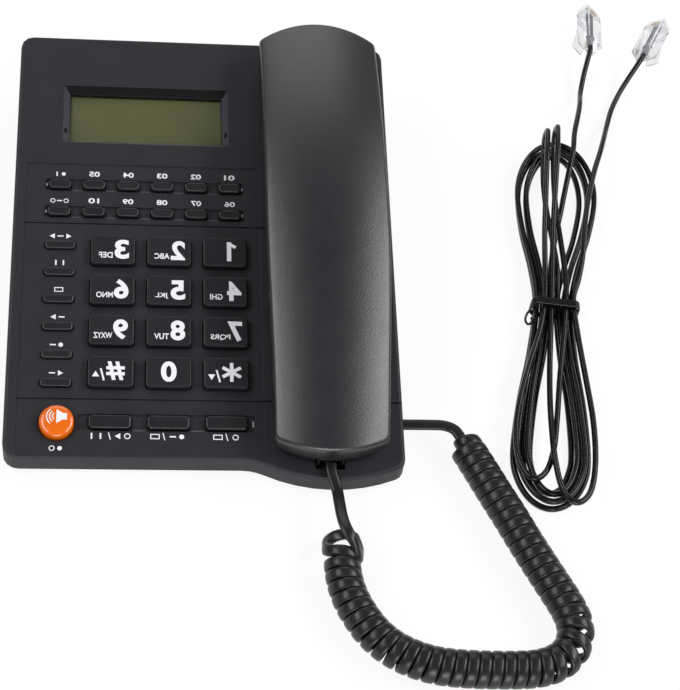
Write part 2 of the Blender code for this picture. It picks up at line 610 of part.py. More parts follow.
KEY_KINDS = {
    "number": (NUMBER_KEY_WIDTH, NUMBER_KEY_LENGTH, NUMBER_KEY_RADIUS, NUMBER_KEY_HEIGHT, NUMBER_KEY_FLANGE),
    "memory": (MEMORY_KEY_WIDTH, MEMORY_KEY_LENGTH, MEMORY_KEY_RADIUS, MEMORY_KEY_HEIGHT, MEMORY_KEY_FLANGE),
    "side": (SIDE_KEY_WIDTH, SIDE_KEY_LENGTH, SIDE_KEY_RADIUS, SIDE_KEY_HEIGHT, SIDE_KEY_FLANGE),
    "function": (FUNCTION_KEY_WIDTH, FUNCTION_KEY_LENGTH, FUNCTION_KEY_RADIUS, FUNCTION_KEY_HEIGHT,
                 FUNCTION_KEY_FLANGE),
}

def well_outline(grow, front, with_notch):
    """Outline of a handset well on the panel; the mouth well runs forward in a notch for the cord's jack."""
    half = CAP_WIDTH / 2 + WELL_GAP + grow
    near = front - WELL_GAP - grow
    far = front + CAP_LENGTH + WELL_GAP + grow
    outline = rounded_rectangle(HANDSET_X - half, HANDSET_X + half, near, far, WELL_CORNER_RADIUS + grow)
    if with_notch:
        notch = NARROW_JACK_WIDTH / 2 + WELL_GAP + grow
        reach = near - WELL_NOTCH_REACH
        middle = CORNER_STEPS + 1
        notch_points = [(HANDSET_X - notch, near), (HANDSET_X - notch, reach), (HANDSET_X + notch, reach),
                        (HANDSET_X + notch, near)]
        outline = outline[:middle] + notch_points + outline[middle:]
    return outline


def build_cover_supports():
    """Material under the cover's skin: the display's border, the two wells and the posts over the board."""
    bm = bmesh.new()
    embed = -SHELL_WALL / 2
    border = DISPLAY_BORDER
    box(bm, (DISPLAY_LEFT - border, DISPLAY_S - border, -DISPLAY_DEPTH),
        (DISPLAY_LEFT + DISPLAY_WIDTH + border, DISPLAY_S + DISPLAY_LENGTH + border, embed))
    prism(bm, well_outline(WELL_WALL, EAR_CAP_S, False), -EAR_WELL_DEPTH - WELL_WALL, embed)
    prism(bm, well_outline(WELL_WALL, MOUTH_CAP_S, True), -MOUTH_WELL_DEPTH - WELL_WALL, embed)
    for x in POST_X:
        for s in POST_S:
            prism(bm, circle((x, s), POST_RADIUS, 8), BOARD_TOP + CLEARANCE, embed)
    on_panel(bm)
    return make_cutter("cover_supports", bm)


def build_cover_field():
    """The sunken field, cut out of the panel's face and open to the front."""
    bm = bmesh.new()
    box(bm, (FIELD_LEFT, -BULGE_REACH - CUT_OVERRUN, -FIELD_DEPTH), (FIELD_RIGHT, FIELD_TOP, CUT_OVERRUN))
    on_panel(bm)
    return make_cutter("cover_field", bm)


def build_cover_channels():
    """Grooves across the panel and the troughs that the small keys stand in."""
    bm = bmesh.new()
    groove_floor = -FIELD_DEPTH - GROOVE_DEPTH
    for s in GROOVE_S:
        box(bm, (FIELD_LEFT, s - GROOVE_WIDTH / 2, groove_floor),
            (BASE_WIDTH / 2 + CUT_OVERRUN, s + GROOVE_WIDTH / 2, CUT_OVERRUN))
    reach = MEMORY_KEY_WIDTH / 2 + MEMORY_CHANNEL_MARGIN
    for row in range(2):
        s = MEMORY_KEY_S - row * MEMORY_KEY_STEP_S
        half = MEMORY_KEY_LENGTH / 2 + CHANNEL_MARGIN
        last = MEMORY_KEY_X + 5 * MEMORY_KEY_STEP_X
        outline = rounded_rectangle(MEMORY_KEY_X - reach, last + reach, s - half, s + half, MEMORY_KEY_RADIUS)
        prism(bm, outline, -CHANNEL_DEPTH, CUT_OVERRUN)
    left = KEY_COLUMN_X - FUNCTION_KEY_WIDTH / 2 - FUNCTION_CHANNEL_MARGIN_LEFT
    right = KEY_COLUMN_X + 2 * KEY_STEP_X + FUNCTION_KEY_WIDTH / 2 + FUNCTION_CHANNEL_MARGIN_RIGHT
    half = FUNCTION_KEY_LENGTH / 2 + CHANNEL_MARGIN
    outline = rounded_rectangle(left, right, FUNCTION_KEY_S - half, FUNCTION_KEY_S + half, FUNCTION_KEY_RADIUS)
    prism(bm, outline, -CHANNEL_DEPTH, CUT_OVERRUN)
    on_panel(bm)
    return make_cutter("cover_channels", bm)


def build_cover_holes():
    """Key holes, the display's bevelled frame and the two wells."""
    bm = bmesh.new()
    under = -SHELL_WALL - CUT_OVERRUN
    for name, kind, x, s in key_places():
        width, length, radius = KEY_KINDS[kind][:3]
        outline = key_outline(width, length, radius)(CLEARANCE)
        prism(bm, [(x + px, s + py) for px, py in outline], under, CUT_OVERRUN)
    key_hole = SPEAKER_KEY_RADIUS + SPEAKER_KEY_GAP
    prism(bm, circle((SPEAKER_KEY_X, SPEAKER_KEY_S), key_hole), under, CUT_OVERRUN)
    slope = DISPLAY_BEVEL / DISPLAY_DEPTH
    rings = []
    for height in (-DISPLAY_DEPTH - CLEARANCE, CUT_OVERRUN):
        grow = height * slope
        left, right = DISPLAY_LEFT - grow, DISPLAY_LEFT + DISPLAY_WIDTH + grow
        near, far = DISPLAY_S - grow, DISPLAY_S + DISPLAY_LENGTH + grow
        rings.append([(left, near, height), (right, near, height), (right, far, height), (left, far, height)])
    loft(bm, rings)
    prism(bm, well_outline(0, EAR_CAP_S, False), -EAR_WELL_DEPTH, CUT_OVERRUN)
    prism(bm, well_outline(0, MOUTH_CAP_S, True), -MOUTH_WELL_DEPTH, CUT_OVERRUN)
    on_panel(bm)
    return make_cutter("cover_holes", bm)


def build_cover_openings():
    """Openings in the walls for the two jacks, and the hook switch's hole in the ear well."""
    bm = bmesh.new()
    half_w, half_l = HOOK_WIDTH / 2 + CLEARANCE, HOOK_LENGTH / 2 + CLEARANCE
    box(bm, (HANDSET_X - half_w, HOOK_S - half_l, -EAR_WELL_DEPTH - WELL_WALL - CUT_OVERRUN),
        (HANDSET_X + half_w, HOOK_S + half_l, -EAR_WELL_DEPTH + CUT_OVERRUN))
    on_panel(bm)
    half = LINE_JACK_WIDTH / 2 + CLEARANCE
    top = CASE_FLOOR_TOP + CLEARANCE + LINE_JACK_HEIGHT + CLEARANCE
    box(bm, (LINE_JACK_X - half, BACK_Y - SHELL_WALL - CUT_OVERRUN, 0),
        (LINE_JACK_X + half, BACK_Y + CUT_OVERRUN, top))
    half = NARROW_JACK_WIDTH / 2 + CLEARANCE
    top = SIDE_JACK_BOTTOM + NARROW_JACK_HEIGHT + CLEARANCE
    box(bm, (BASE_WIDTH / 2 - SHELL_WALL - CUT_OVERRUN, SIDE_JACK_Y - half, 0),
        (BASE_WIDTH / 2 + CUT_OVERRUN, SIDE_JACK_Y + half, top))
    return make_cutter("cover_openings", bm)


def build_top_cover(material):
    """The moulded top: a wedge-shaped shell with the key field, the display frame and the handset's wells."""
    bm = bmesh.new()
    rings = [sloping_ring(SHELL_WALL, SHELL_WALL / math.cos(PANEL_TILT)), level_ring(SHELL_WALL, COVER_BOTTOM),
             level_ring(0, COVER_BOTTOM)]
    for step in range(4):
        turn = step / 3 * math.pi / 2
        inset = TOP_EDGE_RADIUS * (1 - math.cos(turn))
        drop = TOP_EDGE_RADIUS * (1 - math.sin(turn))
        rings.append(sloping_ring(inset, drop))
    loft(bm, rings)
    cover = make_object("top_cover", bm, material)
    combine(cover, build_cover_supports(), "UNION")
    combine(cover, build_cover_field(), "DIFFERENCE")
    combine(cover, build_cover_channels(), "DIFFERENCE")
    combine(cover, build_cover_holes(), "DIFFERENCE")
    combine(cover, build_cover_openings(), "DIFFERENCE")
    return cover


def foot_places():
    """Centres of the four feet."""
    across = BASE_WIDTH / 2 - FOOT_INSET_X
    front, back = FRONT_Y + FOOT_INSET_FRONT, BACK_Y - FOOT_INSET_BACK
    return {"foot_front_left": (-across, front), "foot_front_right": (across, front),
            "foot_back_left": (-across, back), "foot_back_right": (across, back)}


def keyhole_outline(x, y):
    """A round opening with a slot towards the back, for a wall hook."""
    half = KEYHOLE_SLOT_WIDTH / 2
    open_angle = math.asin(half / KEYHOLE_RADIUS)
    quarter = math.pi / 2
    outline = arc((x, y), KEYHOLE_RADIUS, quarter + open_angle, 5 * quarter - open_angle, 9)
    outline += arc((x, y + KEYHOLE_SLOT_LENGTH), half, 0, 2 * quarter, 4)
    return outline


def build_bottom_case(material):
    """The tray that closes the base: a floor with a rim inside the cover's wall."""
    bm = bmesh.new()
    rim_outer = SHELL_WALL + CLEARANCE
    rim_inner = rim_outer + CASE_RIM_WALL
    rim_top = CASE_FLOOR_TOP + CASE_RIM_HEIGHT
    loft(bm, [
        level_ring(CASE_EDGE_INSET + CASE_EDGE_CHAMFER, FOOT_PROUD),
        level_ring(CASE_EDGE_INSET, FOOT_PROUD + CASE_EDGE_CHAMFER / 2),
        level_ring(CASE_EDGE_INSET, CASE_EDGE_TOP),
        level_ring(rim_outer, CASE_EDGE_TOP),
        level_ring(rim_outer, rim_top),
        level_ring(rim_inner, rim_top),
        level_ring(rim_inner, CASE_FLOOR_TOP),
    ])
    case = make_object("bottom_case", bm, material)
    bm = bmesh.new()
    for x, y in foot_places().values():
        prism(bm, circle((x, y), FOOT_RADIUS + CLEARANCE, 16), 0, FOOT_PROUD + FOOT_POCKET_DEPTH)
    for side in (-1, 1):
        x = side * (BASE_WIDTH / 2 - SCREW_INSET_X)
        for y in (FRONT_Y + SCREW_INSET_Y, BACK_Y - SCREW_INSET_Y):
            prism(bm, circle((x, y), SCREW_WELL_RADIUS, 12), 0, FOOT_PROUD + SCREW_WELL_DEPTH)
        outline = keyhole_outline(side * KEYHOLE_SPACING / 2, KEYHOLE_Y)
        prism(bm, outline, 0, CASE_FLOOR_TOP + CUT_OVERRUN / 2)
    for k in range(SOUND_SLOT_COUNT):
        offset = (k - (SOUND_SLOT_COUNT - 1) / 2) * SOUND_SLOT_PITCH
        half = math.sqrt(SPEAKER_CONE_RADIUS ** 2 - offset ** 2)
        outline = rounded_rectangle(SPEAKER_X - half, SPEAKER_X + half, SPEAKER_Y + offset - SOUND_SLOT_WIDTH / 2,
                                    SPEAKER_Y + offset + SOUND_SLOT_WIDTH / 2, SOUND_SLOT_WIDTH / 3, 1)
        prism(bm, outline, 0, CASE_FLOOR_TOP + CUT_OVERRUN / 2)
    half = LINE_JACK_WIDTH / 2 + CLEARANCE
    box(bm, (LINE_JACK_X - half, BACK_Y - LINE_JACK_DEPTH - CLEARANCE, CASE_FLOOR_TOP),
        (LINE_JACK_X + half, BACK_Y + CUT_OVERRUN, rim_top + CUT_OVERRUN))
    half = NARROW_JACK_WIDTH / 2 + CLEARANCE
    box(bm, (BASE_WIDTH / 2 - NARROW_JACK_DEPTH - CLEARANCE, SIDE_JACK_Y - half, CASE_FLOOR_TOP),
        (BASE_WIDTH / 2 + CUT_OVERRUN, SIDE_JACK_Y + half, rim_top + CUT_OVERRUN))
    combine(case, make_cutter("case_openings", bm), "DIFFERENCE")
    return case


def build_feet(material):
    """Four round rubber feet."""
    for name, (x, y) in foot_places().items():
        bm = bmesh.new()
        top = FOOT_PROUD + FOOT_POCKET_DEPTH - CLEARANCE
        turned(bm, [(FOOT_RADIUS - FOOT_EDGE, 0), (FOOT_RADIUS, FOOT_EDGE), (FOOT_RADIUS, top)], 16)
        make_object(name, bm, material, location=(x, y, 0))


def build_display(panel, window_material, module_material):
    """The clear window under the bevelled frame and the display module under the window."""
    centre_x = DISPLAY_LEFT + DISPLAY_WIDTH / 2
    centre_s = DISPLAY_S + DISPLAY_LENGTH / 2
    half_w, half_l = DISPLAY_WIDTH / 2 - DISPLAY_BEVEL, DISPLAY_LENGTH / 2 - DISPLAY_BEVEL
    top = -DISPLAY_DEPTH - CLEARANCE
    for name, margin, thickness, material in (("display_window", WINDOW_MARGIN, WINDOW_THICKNESS, window_material),
                                              ("display_module", MODULE_MARGIN, MODULE_THICKNESS, module_material)):
        bm = bmesh.new()
        box(bm, (-half_w - margin, -half_l - margin, top - thickness), (half_w + margin, half_l + margin, top))
        make_object(name, bm, material, panel, (centre_x, centre_s, 0))
        top -= thickness + CLEARANCE


def build_keys(panel, material):
    """Every straight-sided key: a cap through the cover's hole and a flange that keeps it in."""
    for name, kind, x, s in key_places():
        width, length, radius, height, flange = KEY_KINDS[kind]
        bm = bmesh.new()
        stack(bm, key_outline(width, length, radius), [
            (flange, FLANGE_BOTTOM), (flange, FLANGE_TOP), (0, FLANGE_TOP), (0, height - KEY_EDGE),
            (-KEY_EDGE / 3, height - KEY_EDGE / 3), (-KEY_EDGE, height),
        ])
        make_object(name, bm, material, panel, (x, s, 0))


def build_speaker_key(panel, material):
    """The round domed key at the front corner."""
    bm = bmesh.new()
    radius, crown = SPEAKER_KEY_RADIUS, SPEAKER_KEY_HEIGHT - SPEAKER_KEY_DOME
    flange = radius + SPEAKER_KEY_GAP + SPEAKER_KEY_FLANGE
    profile = [(flange, FLANGE_BOTTOM), (flange, FLANGE_TOP), (radius, FLANGE_TOP)]
    for step in range(5):
        turn = step / 5 * math.pi / 2
        profile.append((radius * math.cos(turn) ** 0.5, crown + SPEAKER_KEY_DOME * math.sin(turn)))
    turned(bm, profile)
    make_object("speaker_key", bm, material, panel, (SPEAKER_KEY_X, SPEAKER_KEY_S, 0))


def build_mat(panel, material):
    """The rubber mat, with a low dome under each key."""
    bm = bmesh.new()
    box(bm, (MAT_LEFT, MAT_FRONT, MAT_BOTTOM), (MAT_RIGHT, MAT_BACK, MAT_TOP))
    mat = make_object("keypad_mat", bm, material, panel)
    bm = bmesh.new()
    spots = [(x, s) for name, kind, x, s in key_places()]
    spots.append((SPEAKER_KEY_X, SPEAKER_KEY_S))
    for x, s in spots:
        rings = []
        for share, height in ((1.0, MAT_TOP - MAT_THICKNESS / 2), (0.6, DOME_TOP)):
            rings.append([(px, ps, height) for px, ps in circle((x, s), MAT_DOME_RADIUS * share, 5)])
        loft(bm, rings)
    combine(mat, make_cutter("mat_domes", bm, panel), "UNION")


def build_board(panel, material):
    """The circuit board under the mat."""
    bm = bmesh.new()
    box(bm, (MAT_LEFT - BOARD_MARGIN_SIDE, MAT_FRONT - BOARD_MARGIN_END, BOARD_BOTTOM),
        (MAT_RIGHT + BOARD_MARGIN_SIDE, MAT_BACK + BOARD_MARGIN_END, BOARD_TOP))
    make_object("main_board", bm, material, panel)


def build_hook_switch(panel, material):
    """The plunger that the handset holds down."""
    bm = bmesh.new()
    top = -EAR_WELL_DEPTH
    flange_top = top - WELL_WALL - CLEARANCE - HOOK_TRAVEL
    half_w, half_l = HOOK_WIDTH / 2, HOOK_LENGTH / 2

    def outline(grow):
        return rounded_rectangle(-half_w - grow, half_w + grow, -half_l - grow, half_l + grow, half_l / 4, 1)

    stack(bm, outline, [(HOOK_FLANGE, flange_top - HOOK_FLANGE_THICKNESS), (HOOK_FLANGE, flange_top),
                        (0, flange_top), (0, top)])
    make_object("hook_switch", bm, material, panel, (HANDSET_X, HOOK_S, 0))


def build_base_speaker(material):
    """The loudspeaker over the bottom case's slots."""
    bm = bmesh.new()
    low = CASE_FLOOR_TOP + CLEARANCE
    rim_top = low + SPEAKER_RIM_HEIGHT
    turned(bm, [
        (SPEAKER_MAGNET_RADIUS / 2, low + SPEAKER_CONE_DEPTH), (SPEAKER_CONE_RADIUS, low), (SPEAKER_RADIUS, low),
        (SPEAKER_RADIUS, rim_top), (SPEAKER_MAGNET_RADIUS, rim_top + SPEAKER_RIM_HEIGHT),
        (SPEAKER_MAGNET_RADIUS, rim_top + SPEAKER_MAGNET_HEIGHT),
    ])
    make_object("base_speaker", bm, material, location=(SPEAKER_X, SPEAKER_Y, 0))


def build_line_jack(material):
    """The wall-line socket in the back wall, with a slot for the plug's latch."""
    bm = bmesh.new()
    low = CASE_FLOOR_TOP + CLEARANCE
    half = LINE_JACK_WIDTH / 2
    box(bm, (LINE_JACK_X - half, BACK_Y - LINE_JACK_DEPTH, low), (LINE_JACK_X + half, BACK_Y, low + LINE_JACK_HEIGHT))
    jack = make_object("line_jack", bm, material)
    bm = bmesh.new()
    floor = low + LINE_SOCKET_LIFT
    half, latch = LINE_SOCKET_WIDTH / 2, LATCH_SLOT_WIDTH / 2
    section = [(-latch, floor - LATCH_SLOT_HEIGHT), (latch, floor - LATCH_SLOT_HEIGHT), (latch, floor), (half, floor),
               (half, floor + LINE_SOCKET_HEIGHT), (-half, floor + LINE_SOCKET_HEIGHT), (-half, floor), (-latch, floor)]
    rings = []
    for y in (BACK_Y + CUT_OVERRUN, BACK_Y - LINE_SOCKET_DEPTH):
        rings.append([(LINE_JACK_X + x, y, z) for x, z in section])
    loft(bm, rings)
    combine(jack, make_cutter("line_socket", bm), "DIFFERENCE")


def narrow_jack(name, material, place):
    """A socket for a narrow plug, open towards -Y in its own frame, whose origin is the mouth's middle."""
    half_w, half_h = NARROW_JACK_WIDTH / 2, NARROW_JACK_HEIGHT / 2
    bm = bmesh.new()
    box(bm, (-half_w, 0, -half_h), (half_w, NARROW_JACK_DEPTH, half_h))
    bm.transform(place)
    jack = make_object(name, bm, material)
    half_w, half_h = half_w - JACK_SIDE_WALL, half_h - JACK_WALL
    bm = bmesh.new()
    box(bm, (-half_w, -CUT_OVERRUN, -half_h), (half_w, NARROW_JACK_DEPTH - JACK_BACK_WALL, half_h))
    bm.transform(place)
    combine(jack, make_cutter(name + "_socket", bm), "DIFFERENCE")


def narrow_plug(name, material, place):
    """A plug of the handset's cord, nose towards +Y in its own frame, whose origin is its back end's middle."""
    half_w, half_h = NARROW_PLUG_WIDTH / 2, NARROW_PLUG_HEIGHT / 2
    step, shoulder = PLUG_NOSE_STEP, NARROW_PLUG_LENGTH - PLUG_NOSE_LENGTH
    rings = []
    for y, trim in ((0, step), (step, 0), (shoulder, 0), (shoulder, step), (NARROW_PLUG_LENGTH, step)):
        w, h = half_w - trim / 2, half_h - trim
        rings.append([(-w, y, -h), (w, y, -h), (w, y, h), (-w, y, h)])
    bm = bmesh.new()
    loft(bm, rings)
    bm.transform(place)
    make_object(name, bm, material)


def side_jack_place():
    """Mouth of the handset cord's jack, in the right wall of the base, looking out to +X."""
    return Matrix.Translation((BASE_WIDTH / 2, SIDE_JACK_Y, SIDE_JACK_Z)) @ Matrix.Rotation(math.pi / 2, 4, "Z")


def handset_jack_place():
    """Mouth of the cord's jack, in the front end of the handset."""
    local = (HANDSET_X, HANDSET_START_S + HANDSET_JACK_RECESS, HANDSET_PLUG_H)
    return panel_matrix() @ Matrix.Translation(local)


def handset_half_width(t):
    """Half width of the handset at a share of its length, easing from the front width to the back width."""
    share = min(t / 0.5, 1.0)
    ease = share * share * (3 - 2 * share)
    return (HANDSET_WIDTH_FRONT + (HANDSET_WIDTH_BACK - HANDSET_WIDTH_FRONT) * ease) / 2


def seam_height(x, y):
    """Height of the handset's seam over the panel: arched along the handset and cambered across it."""
    t = y / HANDSET_LENGTH
    across = min(abs(x) / handset_half_width(t), 1.0)
    arch = SEAM_FRONT + (SEAM_BACK - SEAM_FRONT) * t + SEAM_RISE * 4 * t * (1 - t)
    return arch + CROWN_CAMBER * (1 - across * across)


def underside_height(y):
    """Height of the handset's underside: a block at each end and the raised grip between them."""
    nearest = min(y, HANDSET_LENGTH - y)
    share = min(max((nearest - GRIP_START) / GRIP_BLEND, 0.0), 1.0)
    ease = share * share * (3 - 2 * share)
    return BLOCK_HEIGHT + (GRIP_HEIGHT - BLOCK_HEIGHT) * ease


def handset_end(half_width):
    """Half of an end, from its middle to the side: a wide arc and a round corner."""
    radius, corner = HANDSET_END_RADIUS, HANDSET_CORNER_RADIUS
    across = half_width - corner
    down = math.sqrt((radius - corner) ** 2 - across ** 2)
    corner_turn = math.atan2(-down, across)
    quarter = math.pi / 2
    points = arc((0, radius), radius, -quarter, corner_turn, 4)
    points += arc((across, radius - down), corner, corner_turn, 0, 3)[1:]
    return points


SIDE_STEPS = 13


def handset_half():
    """Right half of the handset's outline, from the middle of its front end to the middle of its back end."""
    front = handset_end(HANDSET_WIDTH_FRONT / 2)
    back = [(x, HANDSET_LENGTH - y) for x, y in reversed(handset_end(HANDSET_WIDTH_BACK / 2))]
    start, end = front[-1][1], back[0][1]
    side = []
    for k in range(1, SIDE_STEPS):
        y = start + (end - start) * k / SIDE_STEPS
        side.append((handset_half_width(y / HANDSET_LENGTH), y))
    return front + side + back


def handset_ring(half, inset, height_at):
    """A closed ring: the half outline drawn in towards the middle line, and its mirror image."""
    span = 1 - 2 * inset / HANDSET_LENGTH
    drawn = []
    for x, y in half:
        share = 1 - inset / max(HANDSET_WIDTH_BACK / 2, inset)
        across, along = x * share, inset + y * span
        drawn.append((across, along, height_at(across, along)))
    mirrored = [(-x, y, z) for x, y, z in reversed(drawn[1:-1])]
    return drawn + mirrored


def close_across(bm, loop):
    """Close a ring whose two halves mirror each other with strips from side to side."""
    count = len(loop)
    half = count // 2
    for k in range(half):
        left_a, left_b = loop[(count - k) % count], loop[count - k - 1]
        corners = []
        for vert in (loop[k], loop[k + 1], left_b, left_a):
            if vert not in corners:
                corners.append(vert)
        bm.faces.new(corners)


def handset_shell(name, material, place, rings):
    """A hollow half of the handset from rings that run from its inner face round the rim to its outer face."""
    half = handset_half()
    bm = bmesh.new()
    loops = []
    for inset, height_at in rings:
        loops.append([bm.verts.new(point) for point in handset_ring(half, inset, height_at)])
    count = len(loops[0])
    for low, high in zip(loops, loops[1:]):
        for k in range(count):
            following = (k + 1) % count
            bm.faces.new((low[k], low[following], high[following], high[k]))
    close_across(bm, loops[0])
    close_across(bm, loops[-1])
    bm.transform(place)
    return make_object(name, bm, material, smooth_angle=math.radians(40))


def over_seam(rise):
    """Height a given rise over the seam."""
    return lambda x, y: seam_height(x, y) + rise


def over_underside(rise):
    """Height a given rise over the underside, never past the seam."""
    return lambda x, y: min(underside_height(y) + rise, seam_height(x, y) - CLEARANCE - rise / 4)


def build_handset(place, upper_material, lower_material):
    """The handset's arched back and its face with the two caps, as thin shells that meet at the seam."""
    wall, top, soft, half = HANDSET_WALL, CROWN_THICKNESS, CROWN_EDGE, HANDSET_WIDTH_BACK / 2
    rings = [(half * 0.6, over_seam(top - wall)), (wall + soft, over_seam(top - wall)),
             (wall, over_seam(0)), (0, over_seam(0)), (0, over_seam(top - soft)),
             (soft * 0.3, over_seam(top - soft * 0.3)), (soft, over_seam(top))]
    for share in (0.38, 0.74):
        rings.append((half * share, over_seam(top)))
    handset_shell("handset_upper_shell", upper_material, place, rings)
    edge = GRIP_EDGE
    rings = [
        (wall + edge, over_underside(wall)), (wall + SEAM_STEP, over_underside(wall + edge / 2)),
        (wall + SEAM_STEP, over_seam(-CLEARANCE)), (SEAM_STEP, over_seam(-CLEARANCE)),
        (SEAM_STEP, over_underside(edge)), (edge * 0.35, over_underside(edge * 0.25)), (edge, over_underside(0)),
    ]
    lower = handset_shell("handset_lower_shell", lower_material, place, rings)
    bm = bmesh.new()
    half = CAP_WIDTH / 2
    for start, depth in ((CAP_INSET, MOUTH_WELL_DEPTH), (HANDSET_LENGTH - CAP_INSET - CAP_LENGTH, EAR_WELL_DEPTH)):
        outline = rounded_rectangle(-half, half, start, start + CAP_LENGTH, CAP_CORNER_RADIUS)
        prism(bm, outline, -depth + CLEARANCE, BLOCK_HEIGHT + wall / 2)
    bm.transform(place)
    combine(lower, make_cutter("handset_caps", bm), "UNION")
    bm = bmesh.new()
    top = BLOCK_HEIGHT + wall + CUT_OVERRUN / 2
    for centre, depth, count in ((mouth_sound_y(), MOUTH_WELL_DEPTH, 5), (ear_sound_y(), EAR_WELL_DEPTH, 8)):
        spots = circle((0, centre), SOUND_RING_RADIUS, count)
        for spot in spots + [(0, centre)]:
            prism(bm, circle(spot, SOUND_HOLE_RADIUS, 6), -depth - CUT_OVERRUN, top)
    half_w, half_h = NARROW_JACK_WIDTH / 2 + CLEARANCE, NARROW_JACK_HEIGHT / 2 + CLEARANCE
    box(bm, (-half_w, -CUT_OVERRUN, -MOUTH_WELL_DEPTH - CUT_OVERRUN),
        (half_w, HANDSET_JACK_RECESS + NARROW_JACK_DEPTH + CLEARANCE, HANDSET_PLUG_H + half_h))
    bm.transform(place)
    combine(lower, make_cutter("handset_openings", bm), "DIFFERENCE")


def mouth_sound_y():
    """Middle of the mouth cap's holes, along the handset."""
    return CAP_INSET + CAP_LENGTH / 2 + MICROPHONE_OFFSET


def ear_sound_y():
    """Middle of the ear cap's holes, along the handset."""
    return HANDSET_LENGTH - CAP_INSET - CAP_LENGTH / 2


def build_handset_inside(place, receiver_material, microphone_material):
    """The receiver capsule over the ear cap and the microphone over the mouth cap."""
    floor = BLOCK_HEIGHT + HANDSET_WALL + CLEARANCE
    bm = bmesh.new()
    turned(bm, [(RECEIVER_RADIUS, floor), (RECEIVER_RADIUS, floor + RECEIVER_HEIGHT * 0.6),
                (RECEIVER_RADIUS * 0.6, floor + RECEIVER_HEIGHT * 0.6), (RECEIVER_RADIUS * 0.6, floor + RECEIVER_HEIGHT)])
    bm.transform(place @ Matrix.Translation((0, ear_sound_y(), 0)))
    make_object("receiver_capsule", bm, receiver_material)
    bm = bmesh.new()
    turned(bm, [(MICROPHONE_RADIUS, floor), (MICROPHONE_RADIUS, floor + MICROPHONE_HEIGHT)], 16)
    bm.transform(place @ Matrix.Translation((0, mouth_sound_y(), 0)))
    make_object("microphone_capsule", bm, microphone_material)


def smooth_curve(points, steps):
    """Points on a smooth curve through the given ones, with even steps in each span."""
    anchors = [Vector(p) for p in points]
    anchors = [2 * anchors[0] - anchors[1]] + anchors + [2 * anchors[-1] - anchors[-2]]
    line = []
    for k in range(1, len(anchors) - 2):
        a, b, c, d = anchors[k - 1:k + 3]
        for step in range(steps):
            t = step / steps
            line.append(0.5 * (2 * b + (c - a) * t + (2 * a - 5 * b + 4 * c - d) * t ** 2
                               + (3 * b - a - 3 * c + d) * t ** 3))
    line.append(anchors[-2])
    return line


def even_points(line, step):
    """The same line with its points about one step apart, both ends kept."""
    lengths = [0.0]
    for a, b in zip(line, line[1:]):
        lengths.append(lengths[-1] + (b - a).length)
    count = max(round(lengths[-1] / step), 1)
    points, k = [], 0
    for n in range(count + 1):
        target = lengths[-1] * n / count
        while k < len(lengths) - 2 and lengths[k + 1] < target:
            k += 1
        share = (target - lengths[k]) / (lengths[k + 1] - lengths[k])
        points.append(line[k].lerp(line[k + 1], share))
    return points


def least_self_gap(points, diameter):
    """Least clear space between stretches of one tube that are further apart along it than across it."""
    lengths = [0.0]
    for a, b in zip(points, points[1:]):
        lengths.append(lengths[-1] + (b - a).length)
    cells = {}
    size = 2 * diameter
    for k, p in enumerate(points):
        cells.setdefault((int(p.x // size), int(p.y // size), int(p.z // size)), []).append(k)
    least = size
    for k, p in enumerate(points):
        home = (int(p.x // size), int(p.y // size), int(p.z // size))
        for dx in (-1, 0, 1):
            for dy in (-1, 0, 1):
                for dz in (-1, 0, 1):
                    for other in cells.get((home[0] + dx, home[1] + dy, home[2] + dz), ()):
                        if lengths[other] - lengths[k] > 3 * diameter:
                            least = min(least, (points[other] - p).length)
    return least - diameter


def make_tube(name, points, diameter, material):
    """A round cord along a chain of points, closed at both ends."""
    curve = bpy.data.curves.new(name, "CURVE")
    curve.dimensions = "3D"
    curve.bevel_depth = diameter / 2
    curve.bevel_resolution = 1
    curve.use_fill_caps = True
    spline = curve.splines.new("POLY")
    spline.points.add(len(points) - 1)
    for spot, point in zip(spline.points, points):
        spot.co = (*point, 1)
    curve.materials.append(material)
    obj = bpy.data.objects.new(name, curve)
    bpy.context.scene.collection.objects.link(obj)
    dense = smooth_curve(points, 4)
    print("%s: length %.3f m, least gap to itself %.2f mm" % (
        name, sum((b - a).length for a, b in zip(dense, dense[1:])), least_self_gap(dense, diameter) / MM))
    return obj


def millimetres(points):
    """Route points given in millimetres, as vectors in metres."""
    return [Vector(p) * MM for p in points]


def beside_base(points):
    """Points in millimetres from the base's front right corner, as vectors in metres."""
    corner = Vector((BASE_RIGHT, FRONT_Y, 0))
    return [corner + Vector(p) * MM for p in points]


def coil_points(axis):
    """Points of a helix round a level axis; the curls stand further apart where the axis bends most."""
    radius = CURL_OUTER_RADIUS - CURL_STRAND / 2
    bend = beside_base([(*CURL_OPEN_AT, CURL_AXIS_Z / MM)])[0]
    phases = [0.0]
    for a, b in zip(axis, axis[1:]):
        nearness = max(1 - ((a + b) / 2 - bend).length / CURL_OPEN_REACH, 0.0)
        ease = nearness * nearness * (3 - 2 * nearness)
        pitch = CURL_PITCH + (CURL_OPEN_PITCH - CURL_PITCH) * ease
        phases.append(phases[-1] + (b - a).length / pitch)
    turns = round(phases[-1])
    stretch = turns / phases[-1]
    points, k = [], 0
    for n in range(turns * CURL_POINTS_PER_TURN + 1):
        turn = n / CURL_POINTS_PER_TURN
        while k < len(phases) - 2 and phases[k + 1] * stretch < turn:
            k += 1
        share = (turn - phases[k] * stretch) / ((phases[k + 1] - phases[k]) * stretch)
        centre = axis[k].lerp(axis[k + 1], share)
        along = (axis[k + 1] - axis[k]).normalized()
        side = Vector((-along.y, along.x, 0)).normalized()
        swell = min(turn, turns - turn, 1.0)
        angle = 2 * math.pi * turn
        points.append(centre + (Vector((0, 0, 1)) * math.sin(angle) - side * math.cos(angle)) * radius * swell)
    return points


